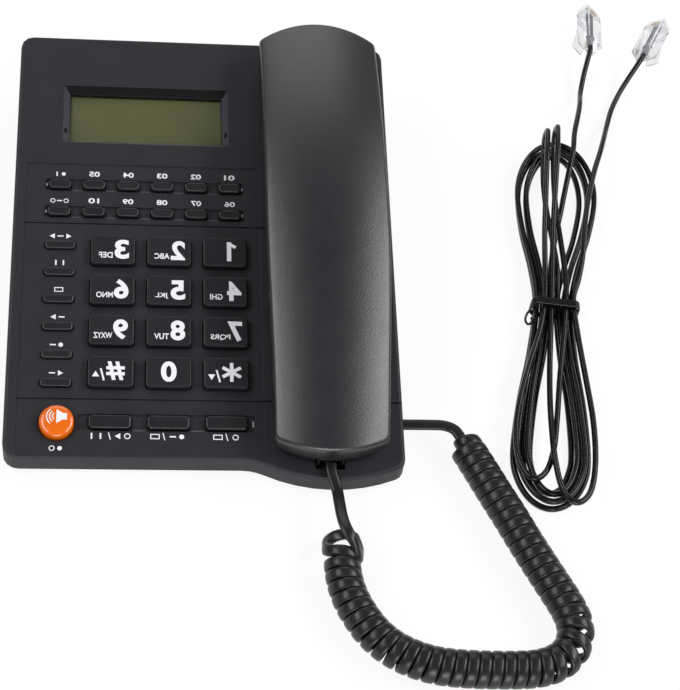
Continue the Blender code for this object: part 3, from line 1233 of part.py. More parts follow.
def build_curly_cord(material):
    """The handset's cord: a straight tail out of each plug and the curls between them."""
    start = handset_jack_place() @ Vector((0, -CLEARANCE, HANDSET_CORD_H - HANDSET_PLUG_H))
    heading = handset_jack_place().to_3x3() @ Vector((0, -1, 0))
    end = side_jack_place() @ Vector((0, -CLEARANCE, 0))
    tail_end = end + Vector((CURL_STRAND, 0, 0))
    axis = smooth_curve(beside_base([(x, y, CURL_AXIS_Z / MM) for x, y in CURL_AXIS]), 12)
    coil = coil_points(axis)
    first = smooth_curve([start, start + heading * CURL_STRAND] + beside_base(HANDSET_TAIL) + [coil[0]], 8)
    last = smooth_curve([coil[-1]] + beside_base(BASE_TAIL) + [tail_end, end], 8)
    points = even_points(first, 2.2 * CURL_STRAND)[:-1] + coil + even_points(last, 2.2 * CURL_STRAND)[1:]
    make_tube("curly_cord", points, CURL_STRAND, material)


def hank_matrix():
    """Place of the hank's frame: on the table at its waist, leaning a little to the right."""
    return Matrix.Translation((HANK_X, HANK_Y, 0)) @ Matrix.Rotation(-HANK_LEAN, 4, "Z")


def hank_lobe(k, top, inward):
    """Point of a quarter loop, k steps from the waist to the end fold, drawn inwards by so many loops."""
    length = (HANK_TOP_LENGTH if top else HANK_BOTTOM_LENGTH) - inward * HANK_LOBE_STEP
    width = (HANK_TOP_WIDTH if top else HANK_BOTTOM_WIDTH) - inward * HANK_LOBE_STEP
    fold = (HANK_TOP_FOLD if top else HANK_BOTTOM_FOLD) - inward * HANK_LOBE_STEP * 0.6
    waist = HANK_WAIST - inward * HANK_STEP
    half = HANK_POINTS_PER_QUARTER // 2
    if k <= half:
        share = k / half
        ease = share * share * (3 - 2 * share)
        return waist + (width - waist) * ease, (length - fold) * share
    turn = (k - half) / half * math.pi / 2
    return width * math.cos(turn), length - fold + fold * math.sin(turn)


def hank_point(step):
    """Point of the hank after so many steps: each layer of loops winds outwards or inwards over the last one."""
    quarter = HANK_POINTS_PER_QUARTER
    turn = step / (4 * quarter)
    layer = min(max(int(turn // HANK_LOOPS_PER_LAYER), 0), HANK_LAYERS - 1)
    run = turn - layer * HANK_LOOPS_PER_LAYER
    place = run if layer % 2 == 0 else HANK_LOOPS_PER_LAYER - run
    climb = 0.0
    for level in range(1, HANK_LAYERS):
        share = min(max((turn - level * HANK_LOOPS_PER_LAYER) / 0.36 + 0.5, 0.0), 1.0)
        climb += share * share * (3 - 2 * share)
    spot = step % (4 * quarter)
    top = spot < 2 * quarter
    right = spot < quarter or spot > 3 * quarter
    k = spot % (2 * quarter)
    if k > quarter:
        k = 2 * quarter - k
    x, y = hank_lobe(k, top, HANK_LOOPS_PER_LAYER - place)
    reach = y / HANK_TOP_LENGTH
    x = x if right else -x
    y = y if top else -y
    if top:
        x += HANK_TOP_SHIFT * reach
    x += HANK_LAYER_SHIFT * climb * reach
    near_waist = max(1 - abs(y) / (8 * TIE_LENGTH), 0.0)
    lift = HANK_WAIST_LIFT * min(1.6 * near_waist * near_waist * (3 - 2 * near_waist), 1.0)
    return Vector((x, y, LINE_STRAND / 2 + CURL_REST_GAP + climb * HANK_LAYER_STEP + lift))


def build_line_cord(material):
    """The line cord: a tail from the first plug, the hank's loops and a tail to the second plug."""
    last_step = HANK_LAYERS * HANK_LOOPS_PER_LAYER * 4 * HANK_POINTS_PER_QUARTER
    hank = [hank_point(step) for step in range(-2 * HANK_POINTS_PER_QUARTER, last_step + 1)]
    ends = []
    for centre, turn, side in ((LINE_PLUG_A, LINE_PLUG_A_TURN, 1), (LINE_PLUG_B, LINE_PLUG_B_TURN, -1)):
        place = line_plug_place(centre, turn, side)
        back = -LINE_PLUG_LENGTH / 2 - CLEARANCE
        ends.append([place @ Vector((0, back, 0)), place @ Vector((0, back - LINE_STRAND, 0))])
    first = smooth_curve(ends[0] + millimetres(LINE_TAIL_A) + hank[:2], 6)[:-6]
    last = smooth_curve(hank[-2:] + millimetres(LINE_TAIL_B) + [ends[1][1], ends[1][0]], 6)[6:]
    points = even_points(first, 3 * LINE_STRAND)[:-1] + hank + even_points(last, 3 * LINE_STRAND)[1:]
    make_tube("line_cord", [hank_matrix() @ p for p in points], LINE_STRAND, material)


def build_tie(material):
    """The flat tie round the waist of the hank."""
    margin = LINE_STRAND / 2 + CLEARANCE
    right = HANK_WAIST + margin
    left = -HANK_WAIST + HANK_STEP / 2 - margin
    low = CURL_REST_GAP + TIE_THICKNESS
    high = LINE_STRAND + CURL_REST_GAP + (HANK_LAYERS - 1) * HANK_LAYER_STEP + HANK_WAIST_LIFT + 2 * CLEARANCE
    rings = []
    for y, grow in ((-0.5, 0), (0.5, 0), (0.5, 1), (-0.5, 1)):
        edge = grow * TIE_THICKNESS
        outline = rounded_rectangle(left - edge, right + edge, low - edge, high + edge, LINE_STRAND / 2 + edge)
        rings.append([(x, y * TIE_LENGTH, z) for x, z in outline])
    bm = bmesh.new()
    loops = [[bm.verts.new(point) for point in ring] for ring in rings]
    count = len(loops[0])
    for ring, after in zip(loops, loops[1:] + loops[:1]):
        for k in range(count):
            following = (k + 1) % count
            bm.faces.new((ring[k], ring[following], after[following], after[k]))
    bm.transform(hank_matrix())
    make_object("cord_tie", bm, material)


def line_plug_place(centre, turn, side):
    """Place of a line plug in the hank's frame: its middle, its turn on the table, and its lean on nose and latch."""
    place = Matrix.Translation(Vector(centre) * MM) @ Matrix.Rotation(turn, 4, "Z")
    return place @ Matrix.Rotation(LINE_PLUG_PITCH, 4, "X") @ Matrix.Rotation(side * LINE_PLUG_ROLL, 4, "Y")


def line_plug(name, material, centre, turn, side):
    """A plug of the line cord, leaning on the tip of its latch, nose towards +Y before it is turned."""
    half_w, half_h = LINE_PLUG_WIDTH / 2, LINE_PLUG_HEIGHT / 2
    length, nose, step = LINE_PLUG_LENGTH, PLUG_NOSE_LENGTH, PLUG_NOSE_STEP
    back, front = -length / 2, length / 2
    rings = []
    for y, trim, taper in ((back, step, step), (back + step, 0, 0), (front - nose, 0, 0), (front - nose, step, step),
                           (front, step, step)):
        w, h = half_w - trim / 2, half_h - taper
        rings.append([(-w, y, -h), (w, y, -h), (w, y, h), (-w, y, h)])
    place = hank_matrix() @ line_plug_place(centre, turn, side)
    bm = bmesh.new()
    loft(bm, rings)
    bm.transform(place)
    plug = make_object(name, bm, material)
    bm = bmesh.new()
    half, thick = LATCH_WIDTH / 2, LATCH_THICKNESS
    root = front - LATCH_ROOT
    sections = ((root, -half_h + thick, -half_h - thick), (root - thick, -half_h + thick, -half_h - thick),
                (root - LATCH_LENGTH, -half_h - LATCH_SPREAD + thick, -half_h - LATCH_SPREAD))
    rings = []
    for y, top, bottom in sections:
        rings.append([(-half, y, bottom), (half, y, bottom), (half, y, top), (-half, y, top)])
    loft(bm, rings)
    bm.transform(place)
    combine(plug, make_cutter(name + "_latch", bm), "UNION")


def main():
    clear_scene()
    cover_grey = make_material("cover_plastic", (0.04, 0.04, 0.045), 0.5)
    case_black = make_material("case_plastic", (0.02, 0.02, 0.022), 0.55)
    key_black = make_material("key_plastic", (0.022, 0.022, 0.026), 0.4)
    handset_grey = make_material("handset_plastic", (0.08, 0.08, 0.085), 0.42)
    orange = make_material("orange_plastic", (0.87, 0.2, 0.01), 0.3)
    clear = make_material("clear_plastic", (0.85, 0.87, 0.88), 0.08, alpha=0.35)
    glass = make_material("display_glass", (0.12, 0.13, 0.07), 0.12, alpha=0.4)
    module = make_material("display_module", (0.1, 0.11, 0.05), 0.4)
    rubber = make_material("rubber", (0.02, 0.02, 0.02), 0.8)
    mat_rubber = make_material("mat_rubber", (0.35, 0.36, 0.36), 0.7)
    board_green = make_material("board", (0.02, 0.14, 0.06), 0.5)
    metal = make_material("plated_steel", (0.6, 0.6, 0.6), 0.35, 1.0)
    cord_black = make_material("cord_vinyl", (0.012, 0.012, 0.012), 0.25)

    panel = bpy.data.objects.new("panel_frame", None)
    bpy.context.scene.collection.objects.link(panel)
    panel.matrix_world = panel_matrix()
    bpy.context.view_layer.update()

    build_top_cover(cover_grey)
    build_bottom_case(case_black)
    build_feet(rubber)
    build_display(panel, glass, module)
    build_keys(panel, key_black)
    build_speaker_key(panel, orange)
    build_mat(panel, mat_rubber)
    build_board(panel, board_green)
    build_hook_switch(panel, key_black)
    build_base_speaker(metal)
    build_line_jack(case_black)
    narrow_jack("cord_jack", case_black, side_jack_place())

    handset_place = panel_matrix() @ Matrix.Translation((HANDSET_X, HANDSET_START_S, 0))
    build_handset(handset_place, handset_grey, handset_grey)
    build_handset_inside(handset_place, metal, metal)
    narrow_jack("handset_cord_jack", case_black, handset_jack_place())

    narrow_plug("curly_plug_base", clear, side_jack_place())
    narrow_plug("curly_plug_handset", clear, handset_jack_place())
    build_curly_cord(cord_black)
    build_line_cord(cord_black)
    build_tie(cord_black)
    line_plug("line_plug_a", clear, LINE_PLUG_A, LINE_PLUG_A_TURN, 1)
    line_plug("line_plug_b", clear, LINE_PLUG_B, LINE_PLUG_B_TURN, -1)


main()
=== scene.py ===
"""Finishes, lettering, keys, display, plugs and cords of a desk telephone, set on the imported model's frame.

Sizes are in millimetres and become metres where a mesh or a place is made.
"""
import json
import logging
from dataclasses import dataclass, field
from enum import Enum
from math import atan2, copysign, cos, hypot, pi, radians, sin, sqrt
from typing import Optional, Sequence

import bmesh
import bpy
from mathutils import Matrix, Vector

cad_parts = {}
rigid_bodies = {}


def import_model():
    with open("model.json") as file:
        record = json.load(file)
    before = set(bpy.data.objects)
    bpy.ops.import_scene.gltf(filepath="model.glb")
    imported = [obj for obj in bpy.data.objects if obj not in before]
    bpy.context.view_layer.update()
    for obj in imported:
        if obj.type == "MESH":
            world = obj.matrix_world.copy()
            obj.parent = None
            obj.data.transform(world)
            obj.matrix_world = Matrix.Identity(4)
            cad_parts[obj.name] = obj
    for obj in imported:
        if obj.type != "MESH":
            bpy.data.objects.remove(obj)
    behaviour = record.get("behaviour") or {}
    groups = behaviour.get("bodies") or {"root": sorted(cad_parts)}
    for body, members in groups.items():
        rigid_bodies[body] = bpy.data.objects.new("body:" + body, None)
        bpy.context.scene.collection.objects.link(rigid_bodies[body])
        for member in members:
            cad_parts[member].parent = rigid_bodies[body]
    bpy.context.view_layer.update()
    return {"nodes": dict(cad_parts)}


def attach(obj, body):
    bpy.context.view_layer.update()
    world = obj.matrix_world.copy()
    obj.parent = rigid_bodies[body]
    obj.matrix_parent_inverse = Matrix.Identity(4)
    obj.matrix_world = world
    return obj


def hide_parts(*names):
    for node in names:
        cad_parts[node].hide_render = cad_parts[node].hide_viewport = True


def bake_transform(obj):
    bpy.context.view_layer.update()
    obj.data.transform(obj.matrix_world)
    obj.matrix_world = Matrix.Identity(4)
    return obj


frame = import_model()

MM = 0.001
LOG = logging.getLogger("desk_telephone")
BMesh = bmesh.types.BMesh
NodeTree = bpy.types.NodeTree
Object = bpy.types.Object
Pair = tuple[float, float]
Outline = list[Pair]
Spot = tuple[float, float, float]


def at(x: float, y: float, z: float = 0.0) -> Matrix:
    """The move to a place given in millimetres."""
    return Matrix.Translation((x * MM, y * MM, z * MM))


def spun(degrees: float, axis: str = "Z") -> Matrix:
    """The turn by an angle round an axis."""
    return Matrix.Rotation(radians(degrees), 4, axis)


FRONT_Y = -90.485
BASE_RIGHT = 75
HANDSET_X = 46.305
PANEL = at(0, FRONT_Y, 11.015) @ spun(7.5, "X")
MIRROR = Matrix.Diagonal((-1, 1, 1, 1))


SMEAR_FINENESS = 5.3     # how many times finer the roughness drifts than the colour
PRINT_THICKNESS = 0.05
PRINT_GAP = 0.01
WEAK_HINT = 0.55         # a width hint that is shorter than this across its path is set by its neighbours
SETTLING_ROUNDS = 60


def ease(share: float) -> float:
    """A smooth step from 0 to 1."""
    return share * share * (3 - 2 * share)


# ---------------------------------------------------------------- nodes and finishes

def fill(tree: NodeTree, node: bpy.types.Node, **values: object) -> bpy.types.Node:
    """Set a node's properties and inputs.

    Args:
        tree: The tree that the node is in.
        node: The node.
        values: Properties by their own names, inputs by their labels with _ for a space or by n and a number.
            An input that is given a node or an output is linked to it.

    Returns:
        The same node.
    """
    for key, value in values.items():
        if hasattr(node, key):
            setattr(node, key, value)
            continue
        socket = node.inputs[int(key[1:]) if key[1:].isdigit() else key.replace("_", " ")]
        value = value.outputs[0] if isinstance(value, bpy.types.Node) else value
        if isinstance(value, bpy.types.NodeSocket):
            tree.links.new(value, socket)
        else:
            socket.default_value = value
    return node


def add_node(tree: NodeTree, kind: str, **values: object) -> bpy.types.Node:
    """Place a shader node and fill it."""
    return fill(tree, tree.nodes.new("ShaderNode" + kind), **values)


def shader_group(name: str, inputs: dict[str, float], outputs: Sequence[str]) -> NodeTree:
    """Start a shader node group with number sockets.

    Args:
        name: The group's name.
        inputs: Each input's usual value.
        outputs: Name of each output.

    Returns:
        The group's tree, with its input and output nodes placed.
    """
    tree = bpy.data.node_groups.new(name, "ShaderNodeTree")
    for label in (*inputs, *outputs):
        socket = tree.interface.new_socket(name=label, in_out="INPUT" if label in inputs else "OUTPUT",
                                           socket_type="NodeSocketFloat")
        if label in inputs:
            socket.default_value = inputs[label]
    tree.nodes.new("NodeGroupInput").name = "into"
    tree.nodes.new("NodeGroupOutput").name = "out"
    return tree


def grain_group() -> NodeTree:
    """Build the moulded grain over the object's own coordinates.

    Returns:
        A group that gives a fine height, a slow colour mask and a roughness mask.
    """
    tree = shader_group("moulded_grain", {"Fine Scale": 2600.0, "Slow Scale": 22.0}, ("Height", "Shade", "Smear"))
    into = tree.nodes["into"].outputs
    where = add_node(tree, "TexCoord").outputs["Object"]
    patchy = add_node(tree, "Math", operation="MULTIPLY", n0=into["Slow Scale"], n1=SMEAR_FINENESS)
    fill(tree, tree.nodes["out"],
         Height=add_node(tree, "TexNoise", Detail=2.0, Vector=where, Scale=into["Fine Scale"]),
         Shade=add_node(tree, "TexNoise", Detail=4.0, Vector=where, Scale=into["Slow Scale"]),
         Smear=add_node(tree, "TexNoise", Detail=3.0, Vector=where, Scale=patchy))
    return tree


def edge_group() -> NodeTree:
    """Build the mask of the edges that hands rub.

    Returns:
        A group that is bright where the face turns from its rounded neighbourhood, in patches.
    """
    tree = shader_group("edge_rub", {"Gain": 3.0, "Patch Scale": 60.0}, ("Mask",))
    into = tree.nodes["into"].outputs
    turn = add_node(tree, "VectorMath", operation="DOT_PRODUCT", n0=add_node(tree, "Bevel", samples=4, Radius=0.5 * MM),
                    n1=add_node(tree, "NewGeometry").outputs["True Normal"])
    away = add_node(tree, "Math", operation="SUBTRACT", n0=1.0, n1=turn.outputs["Value"])
    gain = add_node(tree, "Math", operation="MULTIPLY", use_clamp=True, n0=away, n1=into["Gain"])
    patches = add_node(tree, "TexNoise", Detail=2.0, Vector=add_node(tree, "TexCoord").outputs["Object"],
                       Scale=into["Patch Scale"])
    fill(tree, tree.nodes["out"],
         Mask=add_node(tree, "Math", operation="MULTIPLY", use_clamp=True, n0=gain, n1=patches))
    return tree


GRAIN = grain_group()
EDGE_RUB = edge_group()


def start_material(name: str) -> bpy.types.Material:
    """Start a material.

    Args:
        name: Its name.

    Returns:
        The material, a Principled shader on its output.
    """
    material = bpy.data.materials.new(name)
    material.use_nodes = True
    return material


@dataclass(frozen=True)
class MouldedFinish:
    """A moulded, painted or drawn solid surface, its colour in screen values from 0 to 255.

    The colour drifts a little over the surface, a fine grain roughens it, and edges are rubbed lighter.
    """

    name: str
    colour: Spot
    roughness: float
    grain: float = 0.03
    fine_scale: float = 2600.0
    slow_scale: float = 22.0
    drift: float = 0.10
    smear: float = 0.10
    rub: float = 0.10
    rub_gain: float = 2.2
    rub_paleness: float = 0.02
    rub_weight: float = 3.0
    rounded: float = 0.25
    coat: float = 0.0
    coat_roughness: float = 0.12
    metallic: float = 0.0
    specular: float = 0.5

    def shade(self, gain: float, more: float = 0.0) -> tuple[float, ...]:
        """The finish's linear colour, made brighter or darker.

        Args:
            gain: What each part is multiplied by.
            more: What is added to it.

        Returns:
            Red, green, blue and 1.
        """
        shares = [value / 255 for value in self.colour]
        parts = [share / 12.92 if share <= 0.04045 else ((share + 0.055) / 1.055) ** 2.4 for share in shares]
        return (*[min(part * gain + more, 1.0) for part in parts], 1.0)

    def build(self) -> bpy.types.Material:
        """Make the material.

        Returns:
            The finished material.
        """
        material = start_material(self.name)
        tree = material.node_tree
        grain = add_node(tree, "Group", node_tree=GRAIN, Fine_Scale=self.fine_scale, Slow_Scale=self.slow_scale)
        plain = add_node(tree, "Mix", data_type="RGBA", Factor=grain.outputs["Shade"], n6=self.shade(1 - self.drift),
                         n7=self.shade(1 + self.drift))
        weight = add_node(tree, "Math", operation="MULTIPLY", n0=add_node(tree, "Group", node_tree=EDGE_RUB),
                          n1=self.rub * self.rub_weight)
        worn = add_node(tree, "Mix", data_type="RGBA", Factor=weight, n6=plain.outputs[2],
                        n7=self.shade(self.rub_gain, self.rub_paleness))
        spread = add_node(tree, "MapRange", Value=grain.outputs["Smear"], To_Min=max(self.roughness - self.smear, 0.03),
                          To_Max=min(self.roughness + self.smear, 1.0))
        bump = add_node(tree, "Bump", Strength=1.0, Distance=self.grain * MM, Height=grain.outputs["Height"])
        if self.rounded:
            fill(tree, bump, Normal=add_node(tree, "Bevel", samples=4, Radius=self.rounded * MM))
        fill(tree, tree.nodes["Principled BSDF"], Metallic=self.metallic, Coat_Weight=self.coat,
             Coat_Roughness=self.coat_roughness, Specular_IOR_Level=self.specular, Base_Color=worn.outputs[2],
             Roughness=spread, Normal=bump)
        return material


@dataclass(frozen=True)
class ClearFinish:
    """A clear moulded plastic or a window."""

    name: str
    tint: Sequence[float]
    roughness: float
    index: float
    ripple: float = 0.004
    fine_scale: float = 900.0
    slow_scale: float = 160.0

    def build(self) -> bpy.types.Material:
        """Make the material.

        Returns:
            The finished material.
        """
        material = start_material(self.name)
        tree = material.node_tree
        grain = add_node(tree, "Group", node_tree=GRAIN, Fine_Scale=self.fine_scale, Slow_Scale=self.slow_scale)
        spread = add_node(tree, "MapRange", Value=grain.outputs["Smear"], To_Min=self.roughness * 0.5,
                          To_Max=self.roughness * 1.5)
        bump = add_node(tree, "Bump", Strength=1.0, Distance=self.ripple * MM, Height=grain.outputs["Shade"])
        fill(tree, tree.nodes["Principled BSDF"], Base_Color=self.tint, Transmission_Weight=1.0, IOR=self.index,
             Roughness=spread, Normal=bump)
        return material


FLAT = {"rub": 0.0, "rounded": 0.0}
VINYL = {"grain": 0.012, "slow_scale": 60.0, "drift": 0.08, "smear": 0.06, "specular": 0.4, **FLAT}
FINISHES: dict[str, bpy.types.Material] = {finish.name: finish.build() for finish in (
    MouldedFinish("cover_plastic", (31, 31, 36), 0.50, grain=0.035, drift=0.06, specular=0.36),
    MouldedFinish("case_plastic", (30, 30, 32), 0.55),
    MouldedFinish("handset_plastic", (17, 17, 22), 0.375, grain=0.05, fine_scale=1700.0, drift=0.05, smear=0.04,
                  rub=0.04, specular=0.85),
    MouldedFinish("key_plastic", (27, 27, 31), 0.42, grain=0.02, rub=0.06, rounded=0.12, specular=0.35),
    MouldedFinish("small_key_plastic", (27, 27, 31), 0.32, grain=0.02, rub=0.30, rounded=0.35),
    MouldedFinish("orange_plastic", (222, 101, 3), 0.25, grain=0.01, drift=0.05, rub=0.05, coat=0.6),
    MouldedFinish("white_print", (226, 227, 230), 0.55, grain=0.01, drift=0.03, **FLAT),
    MouldedFinish("cord_vinyl", (25, 25, 28), 0.33, **VINYL),
    MouldedFinish("line_vinyl", (13, 13, 14), 0.26, **VINYL),
    MouldedFinish("grey_sheath", (112, 112, 116), 0.45, grain=0.01, **FLAT),
    MouldedFinish("gold_plate", (222, 206, 188), 0.25, grain=0.004, metallic=1.0, **FLAT),
    MouldedFinish("plated_steel", (176, 176, 178), 0.32, grain=0.01, rounded=0, metallic=1.0),
    MouldedFinish("foot_rubber", (38, 38, 38), 0.80, grain=0.05, rub=0.05),
    MouldedFinish("mat_silicone", (168, 170, 168), 0.62, grain=0.02, rub=0.02),
    MouldedFinish("board_lacquer", (26, 96, 58), 0.35, grain=0.02, drift=0.15),
    MouldedFinish("jack_plastic", (24, 24, 25), 0.45, rub=0.12),
    MouldedFinish("lcd_panel", (75, 76, 48), 0.45, grain=0.004, slow_scale=30.0, drift=0.04, specular=0.15, **FLAT),
    MouldedFinish("lcd_mask", (30, 31, 26), 0.45, grain=0.01, **FLAT),
    # plastic of the trough ledges, lighter than the panel: a painted highlight
    MouldedFinish("painted_lit_ramp_plastic", (70, 70, 74), 0.30, grain=0.01, rub=0.05, rounded=0, coat=0.5),
    # pale plastic of the trough ends: painted glints, much lighter than the panel's own plastic
    MouldedFinish("painted_glint_plastic", (126, 126, 132), 0.30, grain=0.02, rub=0.05, rounded=0, coat=0.5),
    # facing of the recess's left, near and right slopes, lighter than the cover: painted light
    MouldedFinish("painted_lit_bevel_plastic", (58, 58, 66), 0.40, grain=0.03, rub=0.05, rounded=0),
    # near-black facing of the recess's far slope and its catches: painted shade
    MouldedFinish("painted_shade_plastic", (12, 12, 15), 0.60, grain=0.02, specular=0.1, **FLAT),
    ClearFinish("clear_polycarbonate", (0.83, 0.835, 0.85, 1.0), 0.16, 1.12),
    ClearFinish("display_glass", (0.93, 0.94, 0.90, 1.0), 0.08, 1.2),
)}


# ---------------------------------------------------------------- meshes and pieces

def smooth_curve(points: Sequence[Vector], steps: int) -> list[Vector]:
    """Run a smooth curve through points.

    Args:
        points: The points, in order.
        steps: Even steps in each span.

    Returns:
        Points on the curve, both ends kept.
    """
    anchors = [Vector(p) for p in points]
    anchors = [2 * anchors[0] - anchors[1]] + anchors + [2 * anchors[-1] - anchors[-2]]
    line = []
    for a, b, c, d in zip(anchors, anchors[1:], anchors[2:], anchors[3:]):
        for step in range(steps):
            t = step / steps
            line.append(0.5 * (2 * b + (c - a) * t + (2 * a - 5 * b + 4 * c - d) * t ** 2
                               + (3 * b - a - 3 * c + d) * t ** 3))
    return line + [anchors[-2]]


def even_points(line: Sequence[Vector], step: float) -> list[Vector]:
    """Space a line's points evenly.

    Args:
        line: The line's points.
        step: About how far apart the new points stand.

    Returns:
        The new points, both ends kept.
    """
    lengths = [0.0]
    for a, b in zip(line, line[1:]):
        lengths.append(lengths[-1] + (b - a).length)
    count = max(round(lengths[-1] / step), 1)
    points, k = [], 0
    for n in range(count + 1):
        target = lengths[-1] * n / count
        while k < len(lengths) - 2 and lengths[k + 1] < target:
            k += 1
        points.append(line[k].lerp(line[k + 1], (target - lengths[k]) / (lengths[k + 1] - lengths[k])))
    return points


def oval(half_w: float, half_t: float, count: int = 12, start: float = 0.0,
         powers: Pair = (1.0, 1.0)) -> Outline:
    """Draw a cord's section.

    Args:
        half_w: Half its width.
        half_t: Half its thickness.
        count: Number of points.
        start: Steps from the width's end to the first point.
        powers: Less than 1 to square the outline across and through.

    Returns:
        Its points in metres.
    """
    points = []
    for n in range(count):
        c, s = (wave(2 * pi * (n + start) / count) for wave in (cos, sin))
        points.append((half_w * MM * copysign(abs(c) ** powers[0], c),
                       half_t * MM * copysign(abs(s) ** powers[1], s)))
    return points


def placed(bm: BMesh, place: Optional[Matrix]) -> BMesh:
    """Move a mesh, its faces still outward where the move mirrors it.

    Args:
        bm: The mesh.
        place: The move, or None.

    Returns:
        The same mesh.
    """
    if place is not None:
        bm.transform(place)
        if place.determinant() < 0:
            bmesh.ops.reverse_faces(bm, faces=bm.faces[:])
    return bm


def make_piece(name: str, bm: BMesh, finish_name: str, body: Optional[str],
               place: Optional[Matrix] = None, crease: float = 38.0) -> Object:
    """Turn a mesh into a finished piece on a body.

    Args:
        name: The piece's name.
        bm: Its mesh, freed here.
        finish_name: Name of its finish.
        body: The CAD body that it rides on, or None for a piece between two bodies.
        place: Where the mesh goes, if it isn't there yet.
        crease: Angle in degrees past which an edge stays sharp.

    Returns:
        The piece's object, at the origin.
    """
    mesh = bpy.data.meshes.new(name)
    placed(bm, place).to_mesh(mesh)
    bm.free()
    mesh.materials.append(FINISHES[finish_name])
    mesh.polygons.foreach_set("use_smooth", [True] * len(mesh.polygons))
    mesh.set_sharp_from_angle(angle=radians(crease))
    obj = bpy.data.objects.new(name, mesh)
    bpy.context.scene.collection.objects.link(obj)
    if body is not None:
        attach(obj, body)
    LOG.info("piece %s: %d faces on %s", name, len(mesh.polygons), body)
    return obj


def dress_node(name: str, finish_name: str) -> None:
    """Give a CAD node one of the finishes."""
    for slot in bpy.data.objects[name].material_slots:
        slot.material = FINISHES[finish_name]


def block(low: Spot, high: Spot, rounding: float = 0.0, segments: int = 2) -> BMesh:
    """Make a block with rounded edges.

    Args:
        low: Its lowest corner.
        high: Its highest corner.
        rounding: Radius of every edge.
        segments: Steps of the rounding.

    Returns:
        The block's mesh.
    """
    bm = bmesh.new()
    bmesh.ops.create_cube(bm, size=1.0)
    low, high = (Vector([part * MM for part in corner]) for corner in (low, high))
    bmesh.ops.scale(bm, vec=high - low, verts=bm.verts[:])
    bmesh.ops.translate(bm, vec=(high + low) / 2, verts=bm.verts[:])
    if rounding:
        bmesh.ops.bevel(bm, geom=bm.edges[:], offset=rounding * MM, affect="EDGES", segments=segments, profile=0.5,
                        material=-1)
    return bm


def plate(wide: float, high: float) -> BMesh:
    """Make a flat rectangle round the origin.

    Args:
        wide: Its size across.
        high: Its size along.

    Returns:
        Its mesh.
    """
    bm = bmesh.new()
    bmesh.ops.create_grid(bm, x_segments=1, y_segments=1, size=0.5)
    bmesh.ops.scale(bm, vec=(wide * MM, high * MM, 1), verts=bm.verts[:])
    return bm


def thicken(bm: BMesh) -> BMesh:
    """Give flat faces the thickness of print.

    Args:
        bm: A flat mesh.

    Returns:
        The same mesh, closed.
    """
    made = bmesh.ops.extrude_face_region(bm, geom=bm.faces[:])
    tops = [g for g in made["geom"] if isinstance(g, bmesh.types.BMVert)]
    bmesh.ops.translate(bm, vec=(0, 0, PRINT_THICKNESS * MM), verts=tops)
    bmesh.ops.recalc_face_normals(bm, faces=bm.faces[:])
    return bm


def merge(target: BMesh, other: BMesh, place: Optional[Matrix] = None) -> BMesh:
    """Add another mesh to a mesh and free it.

    Args:
        target: The mesh that grows.
        other: The mesh that is added.
        place: Where the other goes first.

    Returns:
        The mesh that grew.
    """
    scratch = bpy.data.meshes.new("scratch")
    placed(other, place).to_mesh(scratch)
    other.free()
    target.from_mesh(scratch)
    bpy.data.meshes.remove(scratch)
    return target


def swept(path: Sequence[Vector], hints: Sequence[Vector], section: Outline) -> BMesh:
    """Sweep a section along a path, for a cord.

    Args:
        path: Ring centres.
        hints: At each centre, the direction that the section's width should lie in.
        section: Points of the section: across its width, then through its thickness.

    Returns:
        The cord's mesh, closed at both ends.
    """
    last = len(path) - 1
    tangents = [(path[min(k + 1, last)] - path[max(k - 1, 0)]).normalized() for k in range(len(path))]
    widths = [hint - hint.dot(tangent) * tangent for hint, tangent in zip(hints, tangents)]
    weak = [k for k, width in enumerate(widths) if width.length < WEAK_HINT]
    for _ in range(SETTLING_ROUNDS):
        for k in weak:
            near = widths[max(k - 1, 0)] + widths[min(k + 1, last)]
            near = near - near.dot(tangents[k]) * tangents[k]
            widths[k] = near.normalized() if near.length > 1e-6 else widths[k]
    bm = bmesh.new()
    rings = []
    for centre, tangent, width in zip(path, tangents, widths):
        across = width.normalized()
        through = tangent.cross(across).normalized()
        rings.append([bm.verts.new(centre + across * u + through * v) for u, v in section])
    for ring, after in zip(rings, rings[1:]):
        for k in range(len(section)):
            following = (k + 1) % len(section)
            bm.faces.new((ring[k], ring[following], after[following], after[k]))
    bm.faces.new(list(reversed(rings[0])))
    bm.faces.new(rings[-1])
    bmesh.ops.recalc_face_normals(bm, faces=bm.faces[:])
    return bm


# ---------------------------------------------------------------- studio

